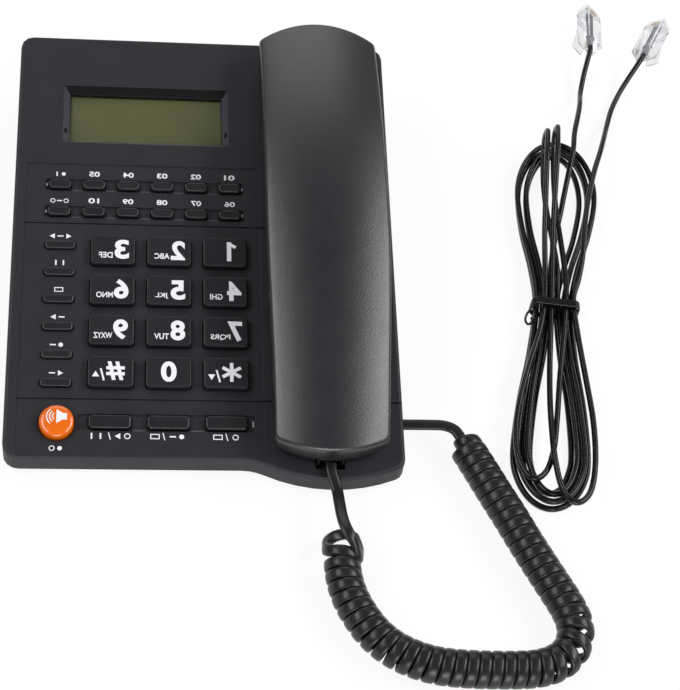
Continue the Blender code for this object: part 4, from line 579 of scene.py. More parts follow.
@dataclass
class Studio:
    """The camera at the photograph's angle, a pale floor and soft lamps.

    Each lamp has a name, a place in metres, a length, a height and a power.
    """

    azimuth: float = radians(-11.5981)
    elevation: float = radians(54.1254)
    roll: float = radians(10.4633)
    shift_right: float = 55.957
    shift_up: float = -29.633
    distance: float = 756.56
    middle_y: float = 5
    lens: float = 97.40
    sensor: float = 36
    clip: Pair = (0.01, 50)
    floor_size: float = 12000
    floor_grey: float = 0.93
    floor_glow: float = 0.90
    sky: float = 0.14
    aim: Spot = (0.04, 0, 0.02)
    lamps: Sequence[tuple[str, Spot, float, float, float]] = (
        ("lamp_left", (-1.12, 0.02, 1.35), 1.9, 0.6, 18.5),
        ("lamp_right", (1.26, -0.08, 1.12), 1.9, 0.6, 25.0),
        ("lamp_back", (0.00, 1.80, 1.05), 1.4, 1.2, 8.0),
        ("lamp_front", (0.05, -1.90, 0.38), 1.1, 0.8, 19.5),
    )

    def add_object(self, name: str, data: bpy.types.ID, place: Matrix) -> Object:
        """Put a camera, a lamp or a mesh in the scene.

        Args:
            name: The object's name.
            data: What it shows.
            place: Where it stands.

        Returns:
            The object.
        """
        obj = bpy.data.objects.new(name, data)
        obj.matrix_world = place
        bpy.context.scene.collection.objects.link(obj)
        return obj

    def place_camera(self) -> None:
        """Set the scene's camera where the photograph was taken from."""
        az, el = self.azimuth, self.elevation
        back = Vector((sin(az) * cos(el), -cos(az) * cos(el), sin(el)))
        level = Vector((cos(az), sin(az), 0))
        steep = back.cross(level)
        right = level * cos(self.roll) + steep * sin(self.roll)
        up = steep * cos(self.roll) - level * sin(self.roll)
        eye = right * self.shift_right * MM + up * self.shift_up * MM + back * self.distance * MM
        data = bpy.data.cameras.new("photo_camera")
        data.lens, data.sensor_width = self.lens, self.sensor
        data.clip_start, data.clip_end = self.clip
        place = at(0, self.middle_y) @ Matrix.Translation(eye) @ Matrix((right, up, back)).transposed().to_4x4()
        bpy.context.scene.camera = self.add_object("photo_camera", data, place)

    def seen_by(self, tree: NodeTree, kinds: Sequence[str]) -> bpy.types.NodeSocket:
        """Mask the rays that see the backdrop.

        Args:
            tree: The tree that the mask goes in.
            kinds: Kinds of rays beside the camera's own.

        Returns:
            The mask's socket.
        """
        path = add_node(tree, "LightPath").outputs
        seen = path["Is Camera Ray"]
        for kind in kinds:
            seen = add_node(tree, "Math", operation="MAXIMUM", n0=seen, n1=path["Is %s Ray" % kind]).outputs[0]
        return seen

    def build_world(self) -> None:
        """White where the camera sees it, a plain soft light elsewhere."""
        world = bpy.data.worlds.new("studio_air")
        world.use_nodes = True
        bpy.context.scene.world = world
        tree, white = world.node_tree, (1, 1, 1, 1)
        soft = fill(tree, tree.nodes["Background"], Color=white, Strength=self.sky)
        plain = add_node(tree, "Background", Color=white, Strength=1.0)
        mix = add_node(tree, "MixShader", Fac=self.seen_by(tree, ("Transmission",)), n1=soft, n2=plain)
        fill(tree, tree.nodes["World Output"], Surface=mix)

    def build_floor(self) -> None:
        """A pale floor that keeps the object's shadow."""
        mesh = bpy.data.meshes.new("floor")
        bm = plate(self.floor_size, self.floor_size)
        bm.to_mesh(mesh)
        bm.free()
        material = start_material("pale_floor")
        tree = material.node_tree
        tree.nodes.remove(tree.nodes["Principled BSDF"])
        plain = add_node(tree, "BsdfDiffuse", Color=(*[self.floor_grey] * 3, 1))
        weight = add_node(tree, "Math", operation="MULTIPLY", n0=self.seen_by(tree, ("Transmission", "Glossy")),
                          n1=self.floor_glow)
        mix = add_node(tree, "MixShader", Fac=weight, n1=plain, n2=add_node(tree, "Emission", Strength=1.0))
        fill(tree, tree.nodes["Material Output"], Surface=mix)
        mesh.materials.append(material)
        self.add_object("floor", mesh, Matrix())

    def build_lamps(self) -> None:
        """Soft lamps, each turned to the object."""
        for name, where, size, high, power in self.lamps:
            data = bpy.data.lights.new(name, "AREA")
            data.shape, data.size, data.size_y, data.energy = "RECTANGLE", size, high, power
            facing = (Vector(self.aim) - Vector(where)).to_track_quat("-Z", "Y").to_matrix().to_4x4()
            self.add_object(name, data, Matrix.Translation(where) @ facing)

    def build(self) -> None:
        """Set the floor, the air, the lamps and the plain view."""
        self.build_world()
        self.build_floor()
        self.build_lamps()
        bpy.context.scene.view_settings.view_transform = "Standard"


# ---------------------------------------------------------------- curly cord

@dataclass
class CurlyCord:
    """The handset's cord: flat strand wound in close curls, with a straight tail at each end.

    The axis, the tails and the base's jack are measured from the base's front right corner, the handset's jack
    lies on the panel. The first curl stands open: it is wider, its top is raised and swerves forward, and its
    underside reaches back.
    """

    width: float = 4.3
    thickness: float = 2.3
    outer_radius: float = 7
    strand: float = 2.6
    pitch: float = 4.4
    open_pitch: float = 6.4
    open_reach: float = 15
    rest_gap: float = 0.05
    steps_per_turn: int = 22
    length: float = 1.72
    axis: Outline = field(default_factory=lambda: [
        (-25.4, -34.1), (-25.9, -39.5), (-25.8, -45.5), (-25, -51.1), (-23.3, -56.9), (-20.6, -62.7), (-17.2, -68.3),
        (-13.4, -72.7), (-9, -76.3), (-4, -79.1), (1.8, -81.4), (8.4, -82.9), (16.1, -83.7), (25.4, -84.1),
        (35, -84.1), (42.6, -83.4), (49.2, -81.1), (54.3, -76.7), (56.9, -70.7), (56.9, -64.3), (54.5, -57.3),
        (50.7, -49.2), (46.4, -40.1), (42.1, -30.7), (37.9, -21.1), (33.5, -11.6), (29.2, -1.9), (25.2, 6.9),
        (23, 12.3)])
    open_at: Pair = (55.8, -74.1)
    first_turn: float = 0.33
    settling_turns: float = 0.8
    swerve_share: float = 0.4
    loose_turns: float = 1.3
    loose_width: float = 0.22
    loose_reach: float = 11
    start_drop: float = 6
    start_rise: float = 2.4
    handset_tail: Sequence[Spot] = ((-26.8, -12.3, 10.6), (-26.3, -18.5, 11.6), (-25.9, -25, 13.2),
                                    (-25.2, -29.8, 14.5), (-24.1, -33.2, 14.9))
    base_tail: Sequence[Spot] = ((20.6, 16.5, 7), (16.6, 18.4, 6.9), (11.4, 18.7, 6.8), (6.6, 18.7, 6.8))
    handset_jack: Spot = (HANDSET_X, -2.3, 1.9)
    base_jack: Spot = (0.3, 18.7, 6.75)
    tail_step: float = 1.2
    squareness: Pair = (0.55, 0.6)

    def beside_base(self, points: Sequence[Spot]) -> list[Vector]:
        """Points measured from the base's front right corner, in metres."""
        return [at(BASE_RIGHT, FRONT_Y) @ (Vector(p) * MM) for p in points]

    def curls(self) -> tuple[list[Vector], list[Vector]]:
        """Wind the strand round its axis.

        Returns:
            Ring centres of the curls in metres and, at each, the direction of the strand's width.
        """
        height = self.outer_radius + self.rest_gap
        axis = smooth_curve([Vector((x, y, height)) for x, y in self.axis], 12)
        bend = Vector((*self.open_at, height))
        phases = [0.0]
        for a, b in zip(axis, axis[1:]):
            nearness = max(1 - ((a + b) / 2 - bend).length / self.open_reach, 0.0)
            pitch = self.pitch + (self.open_pitch - self.pitch) * ease(nearness)
            phases.append(phases[-1] + (b - a).length / pitch)
        turns = round(phases[-1])
        phases = [phase * turns / phases[-1] for phase in phases]
        points, hints, k = [], [], 0
        for n in range(round(self.first_turn * self.steps_per_turn), turns * self.steps_per_turn + 1):
            turn = n / self.steps_per_turn
            while k < len(phases) - 2 and phases[k + 1] < turn:
                k += 1
            centre = axis[k].lerp(axis[k + 1], (turn - phases[k]) / (phases[k + 1] - phases[k]))
            along = (axis[k + 1] - axis[k]).normalized()
            side = Vector((-along.y, along.x, 0)).normalized()
            up, out = sin(2 * pi * turn), cos(2 * pi * turn)
            radius = (self.outer_radius - self.strand / 2) * min(turns - turn, 1.0)
            wide = radius * (1 + self.loose_width * max(1 - (turn - self.first_turn) / self.loose_turns, 0.0))
            lag = min(max((turn - self.first_turn) / self.settling_turns, 0.0), 1.0)
            high = radius + self.start_rise * (1 - lag * lag) ** 2 * max(up, 0.0)
            swerve = self.start_drop * sin(pi * min(lag / self.swerve_share, 1.0))
            centre = centre + along * (swerve - self.loose_reach * sin(pi * lag) ** 2)
            points.append(centre + Vector((0, 0, 1)) * up * high - side * out * wide)
            hints.append(along)
        return self.beside_base(points), hints

    def build(self) -> Object:
        """Returns:
            The cord's object.
        """
        upright = Vector((0, 0, 1))
        start = PANEL @ (Vector(self.handset_jack) * MM)
        start_back = start - PANEL.to_3x3() @ Vector((0, self.strand * MM, 0))
        end, end_back = self.beside_base([self.base_jack, Vector(self.base_jack) + Vector((self.strand, 0, 0))])
        coil, coil_hints = self.curls()
        first = smooth_curve([start, start_back] + self.beside_base(self.handset_tail) + [coil[0]], 8)
        last = smooth_curve([coil[-1]] + self.beside_base(self.base_tail) + [end_back, end], 8)
        first, last = even_points(first, self.tail_step * MM)[:-1], even_points(last, self.tail_step * MM)[1:]
        whole = first + coil[:2]
        hints = [(whole[k + 2] - whole[max(k - 1, 0)]).cross(upright).normalized() for k in range(len(first))]
        hints += coil_hints
        hints += [coil_hints[-1].cross(upright).lerp(Vector((0, 1, 0)), k / len(last)) for k in range(len(last))]
        path = first + coil + last
        section = oval(self.width / 2, self.thickness / 2, 12, 0.5, self.squareness)
        cord = make_piece("curly_cord_wound", swept(path, hints, section), "cord_vinyl", None, crease=80)
        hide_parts("curly_cord")
        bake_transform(cord)
        return cord


# ---------------------------------------------------------------- line cord and its plugs

@dataclass
class LinePlug:
    """A clear plug with six ways: body, latch, gold contacts and the cord's end inside."""

    name: str
    hank: Matrix
    centre: Spot
    turn: float
    side: int
    width: float = 9.65
    height: float = 6.6
    length: float = 25
    nose: float = 3
    tilt: float = -7
    lean: float = 40
    cord_gap: float = 0.3
    latch_angle: float = 16.5
    latch_back: float = 8
    ways: int = 4
    way_step: float = 1.02
    blade: float = 0.15
    pieces: list[Object] = field(default_factory=list)

    def frame_in_hank(self) -> Matrix:
        """Place of the plug in the hank's frame."""
        return at(*self.centre) @ spun(self.turn) @ spun(self.tilt, "X") @ spun(self.lean * self.side, "Y")

    def cord_ends(self, strand: float) -> list[Vector]:
        """Where the cord leaves the plug and a point one strand further back, in the hank's frame."""
        back = -self.length / 2 - self.cord_gap
        return [self.frame_in_hank() @ (Vector((0, y, 0)) * MM) for y in (back, back - strand)]

    def body(self) -> BMesh:
        """The clear body: a block with a narrower nose, a shoulder and a long latch.

        Returns:
            Its mesh, nose towards +Y.
        """
        half_w, half_h, half_l = self.width / 2, self.height / 2, self.length / 2
        bm = block((-half_w, -half_l, -half_h), (half_w, half_l - self.nose, half_h), 0.35)
        merge(bm, block((-half_w + 0.4, half_l - self.nose - 0.5, -half_h + 0.5),
                        (half_w - 0.4, half_l, half_h - 0.3), 0.25))
        return merge(bm, block((-3, -14.5, -0.5), (3, 0.6, 0.5), 0.25),
                     at(0, half_l - self.latch_back, -half_h) @ spun(self.latch_angle, "X"))

    def contacts(self) -> BMesh:
        """Gold contact blades in the nose.

        Returns:
            Their mesh.
        """
        bm = bmesh.new()
        half_h, half_l = self.height / 2, self.length / 2
        for n in range(self.ways):
            x = (n - (self.ways - 1) / 2) * self.way_step
            merge(bm, block((x - self.blade, half_l - 3.6, half_h - 2.4),
                            (x + self.blade, half_l - 1.2, half_h - 0.15)))
        return bm

    def inner_cord(self) -> BMesh:
        """The sheath and the cores inside the plug.

        Returns:
            Their mesh.
        """
        half_l = self.length / 2
        bm = block((-1.5, -half_l - 0.4, -0.85), (1.5, -half_l + 6.5, 0.85), 0.5)
        for x in (-0.6, 0.6):
            merge(bm, block((x - 0.4, -half_l + 6, -0.3), (x + 0.4, half_l - 3, 0.5), 0.25))
        return bm

    def build(self) -> None:
        """Make the plug's pieces on the base."""
        place = self.hank @ self.frame_in_hank()
        self.pieces = [make_piece(self.name + end, bm, finish_name, "base", place)
                       for end, bm, finish_name, slot in (("_body", self.body(), "clear_polycarbonate", "plugs"),
                                                          ("_contacts", self.contacts(), "gold_plate", "plugs"),
                                                          ("_cores", self.inner_cord(), "grey_sheath", "cord"))]
        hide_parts(self.name)


@dataclass
class LineCord:
    """The wall-line cord: a hank of long loops held by a tie, with a tail to each clear plug.

    Places are in the hank's own frame. A lobe's sizes are for the plugs' end and then for the other end.
    """

    strand: float = 2.4
    length: float = 2.87
    place: Matrix = field(default_factory=lambda: at(142, -11) @ spun(-7.1))
    lobe_length: Pair = (88.5, 96)
    lobe_width: Pair = (17.4, 15.6)
    lobe_fold: Pair = (30, 24)
    fold_share: float = 0.6
    top_shift: float = 1.4
    waist: float = 8
    waist_step: float = 2.9
    lobe_step: float = 3.35
    layer_step: float = 2.85
    layer_shift: float = 0.7
    waist_lift: float = 1.3
    waist_reach: float = 25.6
    waist_fullness: float = 1.6
    climb_turns: float = 0.36
    loops_per_layer: int = 2
    layers: int = 2
    per_quarter: int = 6
    sway: float = 0.4
    sway_rate: float = 2.1
    fold_radius: float = 7.2
    fold_lean: float = 0.4
    flatness: Pair = (0.57, 0.49)
    point_step: float = 1.6
    narrow_loops: Sequence[Sequence[Spot]] = (
        ((1.5, 14, 8.0), (-0.4, 30, 7.6), (-2.8, 45, 7.2), (-4.2, 58, 7.1), (-4.6, 67.5, 7.1)),
        ((-5.6, 66.5, 21.3), (-5.5, 57, 19.4), (-5.1, 44, 15.6), (-4.6, 30, 11.6), (-3.9, 15, 9.2), (-3.65, 0, 8.25),
         (-5.2, -15, 7.6), (-9.4, -33, 7), (-13.2, -52, 7), (-14.4, -67, 7), (-12.8, -79, 7), (-7.8, -86, 7),
         (-2.6, -82.5, 7), (0.4, -72, 7), (1.7, -57, 7), (2.7, -39, 7), (4.1, -19, 7.5), (5.1, 0, 8.25),
         (4.6, 15, 8.1), (2.9, 31, 7.6), (1.1, 46, 7.2), (0.1, 61, 7.1), (-0.2, 70.5, 7.1)),
        ((-1.2, 69.5, 21.5), (-1.3, 59, 19.6), (-1.3, 46, 15.8), (-1.2, 31, 12.2), (-1.0, 15, 9.9), (-0.9, 0, 8.25),
         (-1.1, -15, 7.7), (-1.3, -33, 7), (-1.2, -50, 7.4), (-0.8, -65, 9.4), (0.4, -78, 9.8), (3.6, -89.5, 8),
         (9, -94.5, 7), (14.4, -89.5, 7), (16.6, -76, 7), (16, -57, 7), (13.2, -37, 7), (10.2, -18, 7.5),
         (8, 0, 8.25)))
    folds: Sequence[Spot] = ((-5, 75.5, 14.3), (-0.7, 78.4, 14.3))
    tail_a: Sequence[Spot] = (
        (13.9, 131, 6), (12.6, 121, 3.6), (11.3, 109.4, 8), (9.9, 100, 10.2), (8.4, 90, 10.4), (7.8, 80, 10.3),
        (6.4, 70, 8.6), (5, 60, 6.2), (3.6, 49.6, 4), (1.5, 36, 2.8), (-0.3, 20, 2.7))
    tail_b: Sequence[Spot] = (
        (10.1, 11, 8.5), (11.6, 22, 10), (12.2, 34, 10.7), (13.2, 46, 10.7), (14.8, 58, 10.6), (17, 70, 10.5),
        (19.6, 81, 9.8), (21.8, 91, 7), (24.2, 102.5, 3.4), (27, 115, 2.4), (31.6, 127, 3.6))
    tie_box: tuple[float, float, float, float] = (-8.75, 10.2, 0.75, 10.7)
    tie_corner: float = 2.6
    tie_pitch: float = 1.15
    tie_start: float = -1.9
    tie_steps: int = 39
    tie_section: Pair = (0.54, 0.5)
    tie_spacing: float = 0.6
    tie_curl: Sequence[Spot] = ((-9.5, -6, 6.8), (-10.6, -7.8, 5.8), (-11, -10.2, 5), (-9.7, -11.8, 4.6),
                                (-8.3, -10.6, 5.2), (-8.8, -9, 6))

    def lobe(self, k: int, top: bool, inward: float) -> Pair:
        """Point of a quarter loop.

        Args:
            k: Steps from the waist to the end fold.
            top: Whether the loop runs to the plugs' end.
            inward: How many loops it is drawn in by.

        Returns:
            Its place across and along the hank.
        """
        end = 0 if top else 1
        length = self.lobe_length[end] - inward * self.lobe_step
        width = self.lobe_width[end] - inward * self.lobe_step
        fold = self.lobe_fold[end] - inward * self.lobe_step * self.fold_share
        waist = self.waist - inward * self.waist_step
        half = self.per_quarter // 2
        if k <= half:
            return waist + (width - waist) * ease(k / half), (length - fold) * k / half
        turn = (k - half) / half * pi / 2
        return width * cos(turn), length - fold + fold * sin(turn)

    def hank_point(self, step: int) -> Vector:
        """Point of the hank after so many steps, in the hank's frame.

        Args:
            step: Steps from the first loop's start.

        Returns:
            The point.
        """
        quarter = self.per_quarter
        turn = step / (4 * quarter)
        layer = min(max(int(turn // self.loops_per_layer), 0), self.layers - 1)
        run = turn - layer * self.loops_per_layer
        drawn = run if layer % 2 == 0 else self.loops_per_layer - run
        climb = sum(ease(min(max((turn - level * self.loops_per_layer) / self.climb_turns + 0.5, 0.0), 1.0))
                    for level in range(1, self.layers))
        spot = step % (4 * quarter)
        top = spot < 2 * quarter
        k = spot % (2 * quarter)
        x, y = self.lobe(min(k, 2 * quarter - k), top, self.loops_per_layer - drawn)
        reach = y / self.lobe_length[0]
        x = x if spot < quarter or spot > 3 * quarter else -x
        y = y if top else -y
        x += self.top_shift * reach if top else 0
        x += self.layer_shift * climb * reach + self.sway * sin(self.sway_rate * turn) * reach
        lift = self.waist_lift * min(self.waist_fullness * ease(max(1 - abs(y) / self.waist_reach, 0.0)), 1.0)
        return Vector((x, y, self.strand / 2 + 0.05 + climb * self.layer_step + lift))

    def loose_loops(self) -> list[Vector]:
        """The last two loops, whose ends stand on edge in the middle of the hank.

        Returns:
            Their points, from the waist on.
        """
        points = [Vector(p) for p in self.narrow_loops[0]]
        for (x, y, z), run in zip(self.folds, self.narrow_loops[1:]):
            for degrees in (-70, -35, 0, 35, 70):
                turn = radians(degrees)
                points.append(Vector((x - self.fold_lean * degrees / 70, y + self.fold_radius * cos(turn),
                                      z + self.fold_radius * sin(turn))))
            points += [Vector(p) for p in run]
        return points

    def laid(self, points: Sequence[Vector], steps: int, spacing: float) -> list[Vector]:
        """A smooth, evenly spaced path in metres through points of the hank."""
        return even_points([self.place @ (p * MM) for p in smooth_curve(points, steps)], spacing * MM)

    def build_tie(self) -> Object:
        """The tie: a soft strip wound twice round the waist, its end curled up.

        Returns:
            The tie's object.
        """
        left, right, low, high = self.tie_box
        corner, ring = self.tie_corner, []
        for x, z, first in ((right - corner, high - corner, 0), (left + corner, high - corner, 90),
                            (left + corner, low + corner, 180), (right - corner, low + corner, 270)):
            for step in range(4):
                turn = radians(first + 30 * step)
                ring.append((x + corner * cos(turn), z + corner * sin(turn)))
        points = []
        for n in range(self.tie_steps):
            x, z = ring[n % len(ring)]
            points.append(Vector((x, self.tie_start - self.tie_pitch * n / len(ring), z)))
        path = self.laid(points + [Vector(p) for p in self.tie_curl], 4, self.tie_spacing)
        along = self.place.to_3x3() @ Vector((0, 1, 0.15))
        tie = make_piece("tie_wound", swept(path, [along] * len(path), oval(*self.tie_section, 10)), "line_vinyl",
                         "base", crease=80)
        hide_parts("cord_tie")
        return tie

    def build(self, plugs: Sequence[LinePlug]) -> Object:
        """Args:
            plugs: The two plugs, first the one whose tail runs under the hank.

        Returns:
            The cord's object.
        """
        last_step = self.layers * self.loops_per_layer * 4 * self.per_quarter
        hank = [self.hank_point(step) for step in range(-2 * self.per_quarter, last_step + 1)] + self.loose_loops()
        ends = [[p / MM for p in plug.cord_ends(self.strand)] for plug in plugs]
        path = self.laid(ends[0] + [*self.tail_a] + hank + [*self.tail_b] + ends[1][::-1], 7, self.point_step)
        section = oval(*(self.strand * share for share in self.flatness))
        cord = make_piece("line_cord_hank", swept(path, [Vector((0.02, 0.01, 1))] * len(path), section),
                          "line_vinyl", "base", crease=80)
        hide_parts("line_cord")
        [piece for plug in plugs for piece in plug.pieces] + [self.build_tie()]
        return cord


# ---------------------------------------------------------------- lettering

class Mark(Enum):
    """Plain signs that stand where the real one has words, each with the character that asks for it in a row."""

    BAR = "|"
    DOT = "."
    RING = "o"
    UP = "^"
    DOWN = "v"
    LEFT = "<"
    RIGHT = ">"
    SLASH = "/"
    FRAME = "#"
    DASH = "-"


DIGIT_WEIGHT = 0.035
SMALL_WEIGHT = 0.025
ARROW_TURNS = {Mark.UP: 0, Mark.DOWN: -180, Mark.LEFT: 90, Mark.RIGHT: -90}
STROKES = {Mark.BAR: (0.26, 1.0), Mark.SLASH: (0.16, 1.25), Mark.DASH: (1.0, 0.24)}


def type_set(words: str, height: float, weight: float, width: float, anchor: float = 0.0) -> BMesh:
    """Set characters in white printing.

    Args:
        words: The characters.
        height: Their height.
        weight: How much their strokes are thickened, as a share of the type size.
        width: Their width.
        anchor: -1 to set the left edge at the origin, 0 the middle, 1 the right edge.

    Returns:
        Their mesh, standing on the base line.
    """
    curve = bpy.data.curves.new("type", "FONT")
    curve.body, curve.size, curve.offset, curve.resolution_u = words, 1.0, weight, 6
    holder = bpy.data.objects.new("type", curve)
    bpy.context.scene.collection.objects.link(holder)
    mesh = bpy.data.meshes.new_from_object(holder.evaluated_get(bpy.context.evaluated_depsgraph_get()))
    bm = bmesh.new()
    bm.from_mesh(mesh)
    bpy.data.objects.remove(holder)
    bpy.data.curves.remove(curve)
    bpy.data.meshes.remove(mesh)
    bmesh.ops.remove_doubles(bm, verts=bm.verts[:], dist=1e-5)
    (low_x, high_x), (low_y, high_y) = [(min(v.co[k] for v in bm.verts), max(v.co[k] for v in bm.verts))
                                        for k in (0, 1)]
    middle = (low_x + high_x) / 2 + anchor * (high_x - low_x) / 2
    bmesh.ops.translate(bm, vec=(-middle, -low_y, 0), verts=bm.verts[:])
    bmesh.ops.scale(bm, vec=(width * MM / (high_x - low_x), height * MM / (high_y - low_y), 1), verts=bm.verts[:])
    return thicken(bm)


def mark(kind: Mark, size: float) -> BMesh:
    """Draw one sign in a square of the given size.

    Args:
        kind: Which sign.
        size: The square's side.

    Returns:
        Its mesh, its middle at the origin.
    """
    if kind in STROKES:
        wide, high = STROKES[kind]
        bm = plate(wide * size, high * size)
        return thicken(placed(bm, spun(-14 if kind is Mark.SLASH else 0)))
    steps, radius = {Mark.DOT: (20, 0.4), Mark.RING: (24, 0.5), Mark.FRAME: (4, 0.7)}.get(kind, (3, 0.58))
    bm = bmesh.new()
    bmesh.ops.create_circle(bm, cap_ends=True, segments=steps, radius=size * radius * MM)
    if kind in ARROW_TURNS:
        bm.transform(spun(ARROW_TURNS[kind]))
    if kind is Mark.FRAME:
        bm.transform(Matrix.Diagonal((1.5, 0.9, 1, 1)) @ spun(45))
    if kind in (Mark.RING, Mark.FRAME):
        middle = bm.faces[:]
        bmesh.ops.inset_region(bm, faces=middle, thickness=size * 0.16 * MM, use_even_offset=True, use_boundary=True)
        bmesh.ops.delete(bm, geom=middle, context="FACES")
    return thicken(bm)


def mark_row(signs: str, size: float, step: float) -> BMesh:
    """Draw signs in a row, its middle at the origin.

    Args:
        signs: The signs' characters, in reading order.
        size: Their size.
        step: The distance between their middles.

    Returns:
        Their mesh.
    """
    bm = bmesh.new()
    for n, sign in enumerate(signs):
        merge(bm, mark(Mark(sign), size), at((n - (len(signs) - 1) / 2) * step, 0))
    return bm


def print_at(name: str, bm: BMesh, body: str, place: Spot) -> None:
    """Print lettering on a face, mirrored as in the photograph.

    Args:
        name: The piece's name.
        bm: The lettering.
        body: What it rides on.
        place: The face's place across the panel, up the panel and over it.
    """
    x, s, height = place
    make_piece(name, bm, "white_print", body, PANEL @ at(x, s, height + PRINT_GAP) @ MIRROR, crease=30)


# ---------------------------------------------------------------- keys and panel

@dataclass
class KeyField:
    """The keys of the panel, their lettering and the marks printed on the panel beside them."""

    column_x: float = -35.7975
    column_step: float = 21.795
    number_s: float = 34.6987
    number_step: float = 17.7067
    number_top: float = 2.2
    memory_x: float = -57.2
    memory_step_x: float = 13.449
    memory_s: float = 118.5246
    memory_step_s: float = 12.5034
    side_x: float = -56.295
    side_s: float = 90.4183
    side_step: float = 12.0038
    function_s: float = 14.3998
    field_floor: float = -0.4
    number_mark_up: float = 4.1
    memory_sign_up: float = 5.0
    side_mark_up: float = 4.3
    function_mark_up: float = -5.6
    digit_height: float = 8.6
    letter_height: float = 2.5
    groups: dict[str, tuple[str, float, float]] = field(default_factory=lambda: {
        "2": ("ABC", -0.1, 5.8), "3": ("DEF", 0.1, 5.4), "4": ("GHI", 1.1, 4.9), "5": ("JKL", 0.3, 5.0),
        "6": ("MNO", -0.3, 6.4), "7": ("PQRS", -1.7, 7.6), "8": ("TUV", 0, 5.6), "9": ("WXYZ", -0.3, 7.1)})

    def sign(self, name: str) -> BMesh:
        """The lettering of one number key, as it reads before it is mirrored.

        Args:
            name: The key's name.

        Returns:
            The mesh, round the middle of the key's top.
        """
        tall = self.digit_height
        if name == "star":
            parts = [(thicken(plate(1.35, 8.0)), at(-2.0, 0.1, 0.001 * n) @ spun(60 * n)) for n in range(3)]
        elif name == "hash":
            parts = [(type_set("#", 7.8, 0.03, 6.9), at(-1.8, -3.9))]
        elif name == "1":
            parts = [(thicken(plate(1.7, tall)), at(-1.6, 0)),
                     (thicken(plate(1.3, 3.1)), at(-2.9, 2.75, 0.001) @ spun(-58))]
        elif name == "0":
            parts = [(type_set("0", tall, DIGIT_WEIGHT, 5.9), at(0, -tall / 2))]
        else:
            letters, edge, width = self.groups[name]
            parts = [(type_set(name, tall, DIGIT_WEIGHT, 5.6), at(-3.4, -tall / 2)),
                     (type_set(letters, self.letter_height, 0.02, width, -1), at(edge, -3.9))]
        if name in ("star", "hash"):
            parts += [(mark(Mark.SLASH, 4.2), at(3.1, -1.6)),
                      (mark(Mark.DOWN if name == "star" else Mark.UP, 2.7), at(5.6, -1.7))]
        bm = bmesh.new()
        for part, place in parts:
            merge(bm, part, place)
        return bm

    def build_signs(self) -> None:
        """Print the number keys."""
        for row, names in enumerate((("hash", "0", "star"), "987", "654", "321")):
            for column, name in enumerate(names):
                print_at("sign_" + name, self.sign(name), "key_%s_body" % name,
                         (self.column_x + column * self.column_step, self.number_s + row * self.number_step,
                          self.number_top))

    def build_marks(self) -> None:
        """Print the numbers over the memory keys and the plain signs beside the others."""
        for n in range(12):
            row, column = divmod(n, 6)
            if column:
                bm = type_set("%02d" % (6 - column + 5 * row), 2.4, SMALL_WEIGHT, 4.2)
            else:
                bm = mark_row((".|", "o-o")[row], 2.0, 2.6)
            up = self.number_mark_up if column else self.memory_sign_up
            print_at("mark_memory_%02d" % (n + 1), bm, "base",
                     (self.memory_x + column * self.memory_step_x, self.memory_s - row * self.memory_step_s + up,
                      self.field_floor))
        for n, signs in enumerate(("<->", "||", "#", "->", ".-", "<-")):
            print_at("mark_side_%d" % (n + 1), mark_row(signs, 2.3, 2.9), "base",
                     (self.side_x, self.side_s - n * self.side_step + self.side_mark_up, self.field_floor))
        for n, signs in enumerate(("o>/||", ".-/#", "o/#")):
            print_at("mark_function_%d" % (n + 1), mark_row(signs, 2.4, 3.3), "base",
                     (self.column_x + n * self.column_step, self.function_s + self.function_mark_up, self.field_floor))
        print_at("mark_speaker", mark_row(".o", 2.2, 2.9), "base", (-55.4, 3.6, self.field_floor))

    def build_troughs(self) -> None:
        """Sloping ledges between the small keys, paler than the panel as a painted highlight, and the rounded ends of
        their troughs, pale as painted glints.
        """
        ledges, ends = bmesh.new(), bmesh.new()
        rows = [self.memory_s, self.memory_s - self.memory_step_s]
        spots = [(self.memory_x + (gap + 0.5) * self.memory_step_x, s - 2.25, 1.9) for s in rows for gap in range(5)]
        spots += [(self.column_x + (gap + 0.5) * self.column_step, self.function_s - 3.0, 2.6) for gap in range(2)]
        for x, s, half in spots:
            merge(ledges, block((-half, -0.55, -0.08), (half, 0.55, 0.08), 0.05), at(x, s, -0.82) @ spun(-38, "X"))
        for s in rows:
            for x in (self.memory_x - 5.05, self.memory_x + 5 * self.memory_step_x + 5.05):
                merge(ends, block((-0.4, -0.55, -0.9), (0.4, 0.55, 0.4), 0.3, 4), at(x, s, -0.4))
        merge(ends, block((-0.35, -1.2, -0.9), (0.35, 1.2, 0.25), 0.25, 4),
              at(self.column_x + 2 * self.column_step + 10.1, self.function_s, -0.4))
        # the trough ends carry painted glints in a pale plastic
        make_piece("trough_ends", ends, "painted_glint_plastic", "base", PANEL)
        # the ledges are lighter than the panel as a painted highlight
        make_piece("trough_ledges", ledges, "painted_lit_ramp_plastic", "base", PANEL)

    def build(self) -> None:
        """Dress the keys and print the panel."""
        for name in frame["nodes"]:
            if name.startswith("key_"):
                dress_node(name, "key_plastic")
            elif name.startswith(("memory_key_", "side_key_", "function_key_")):
                dress_node(name, "small_key_plastic")
        self.build_troughs()
        self.build_signs()
        self.build_marks()


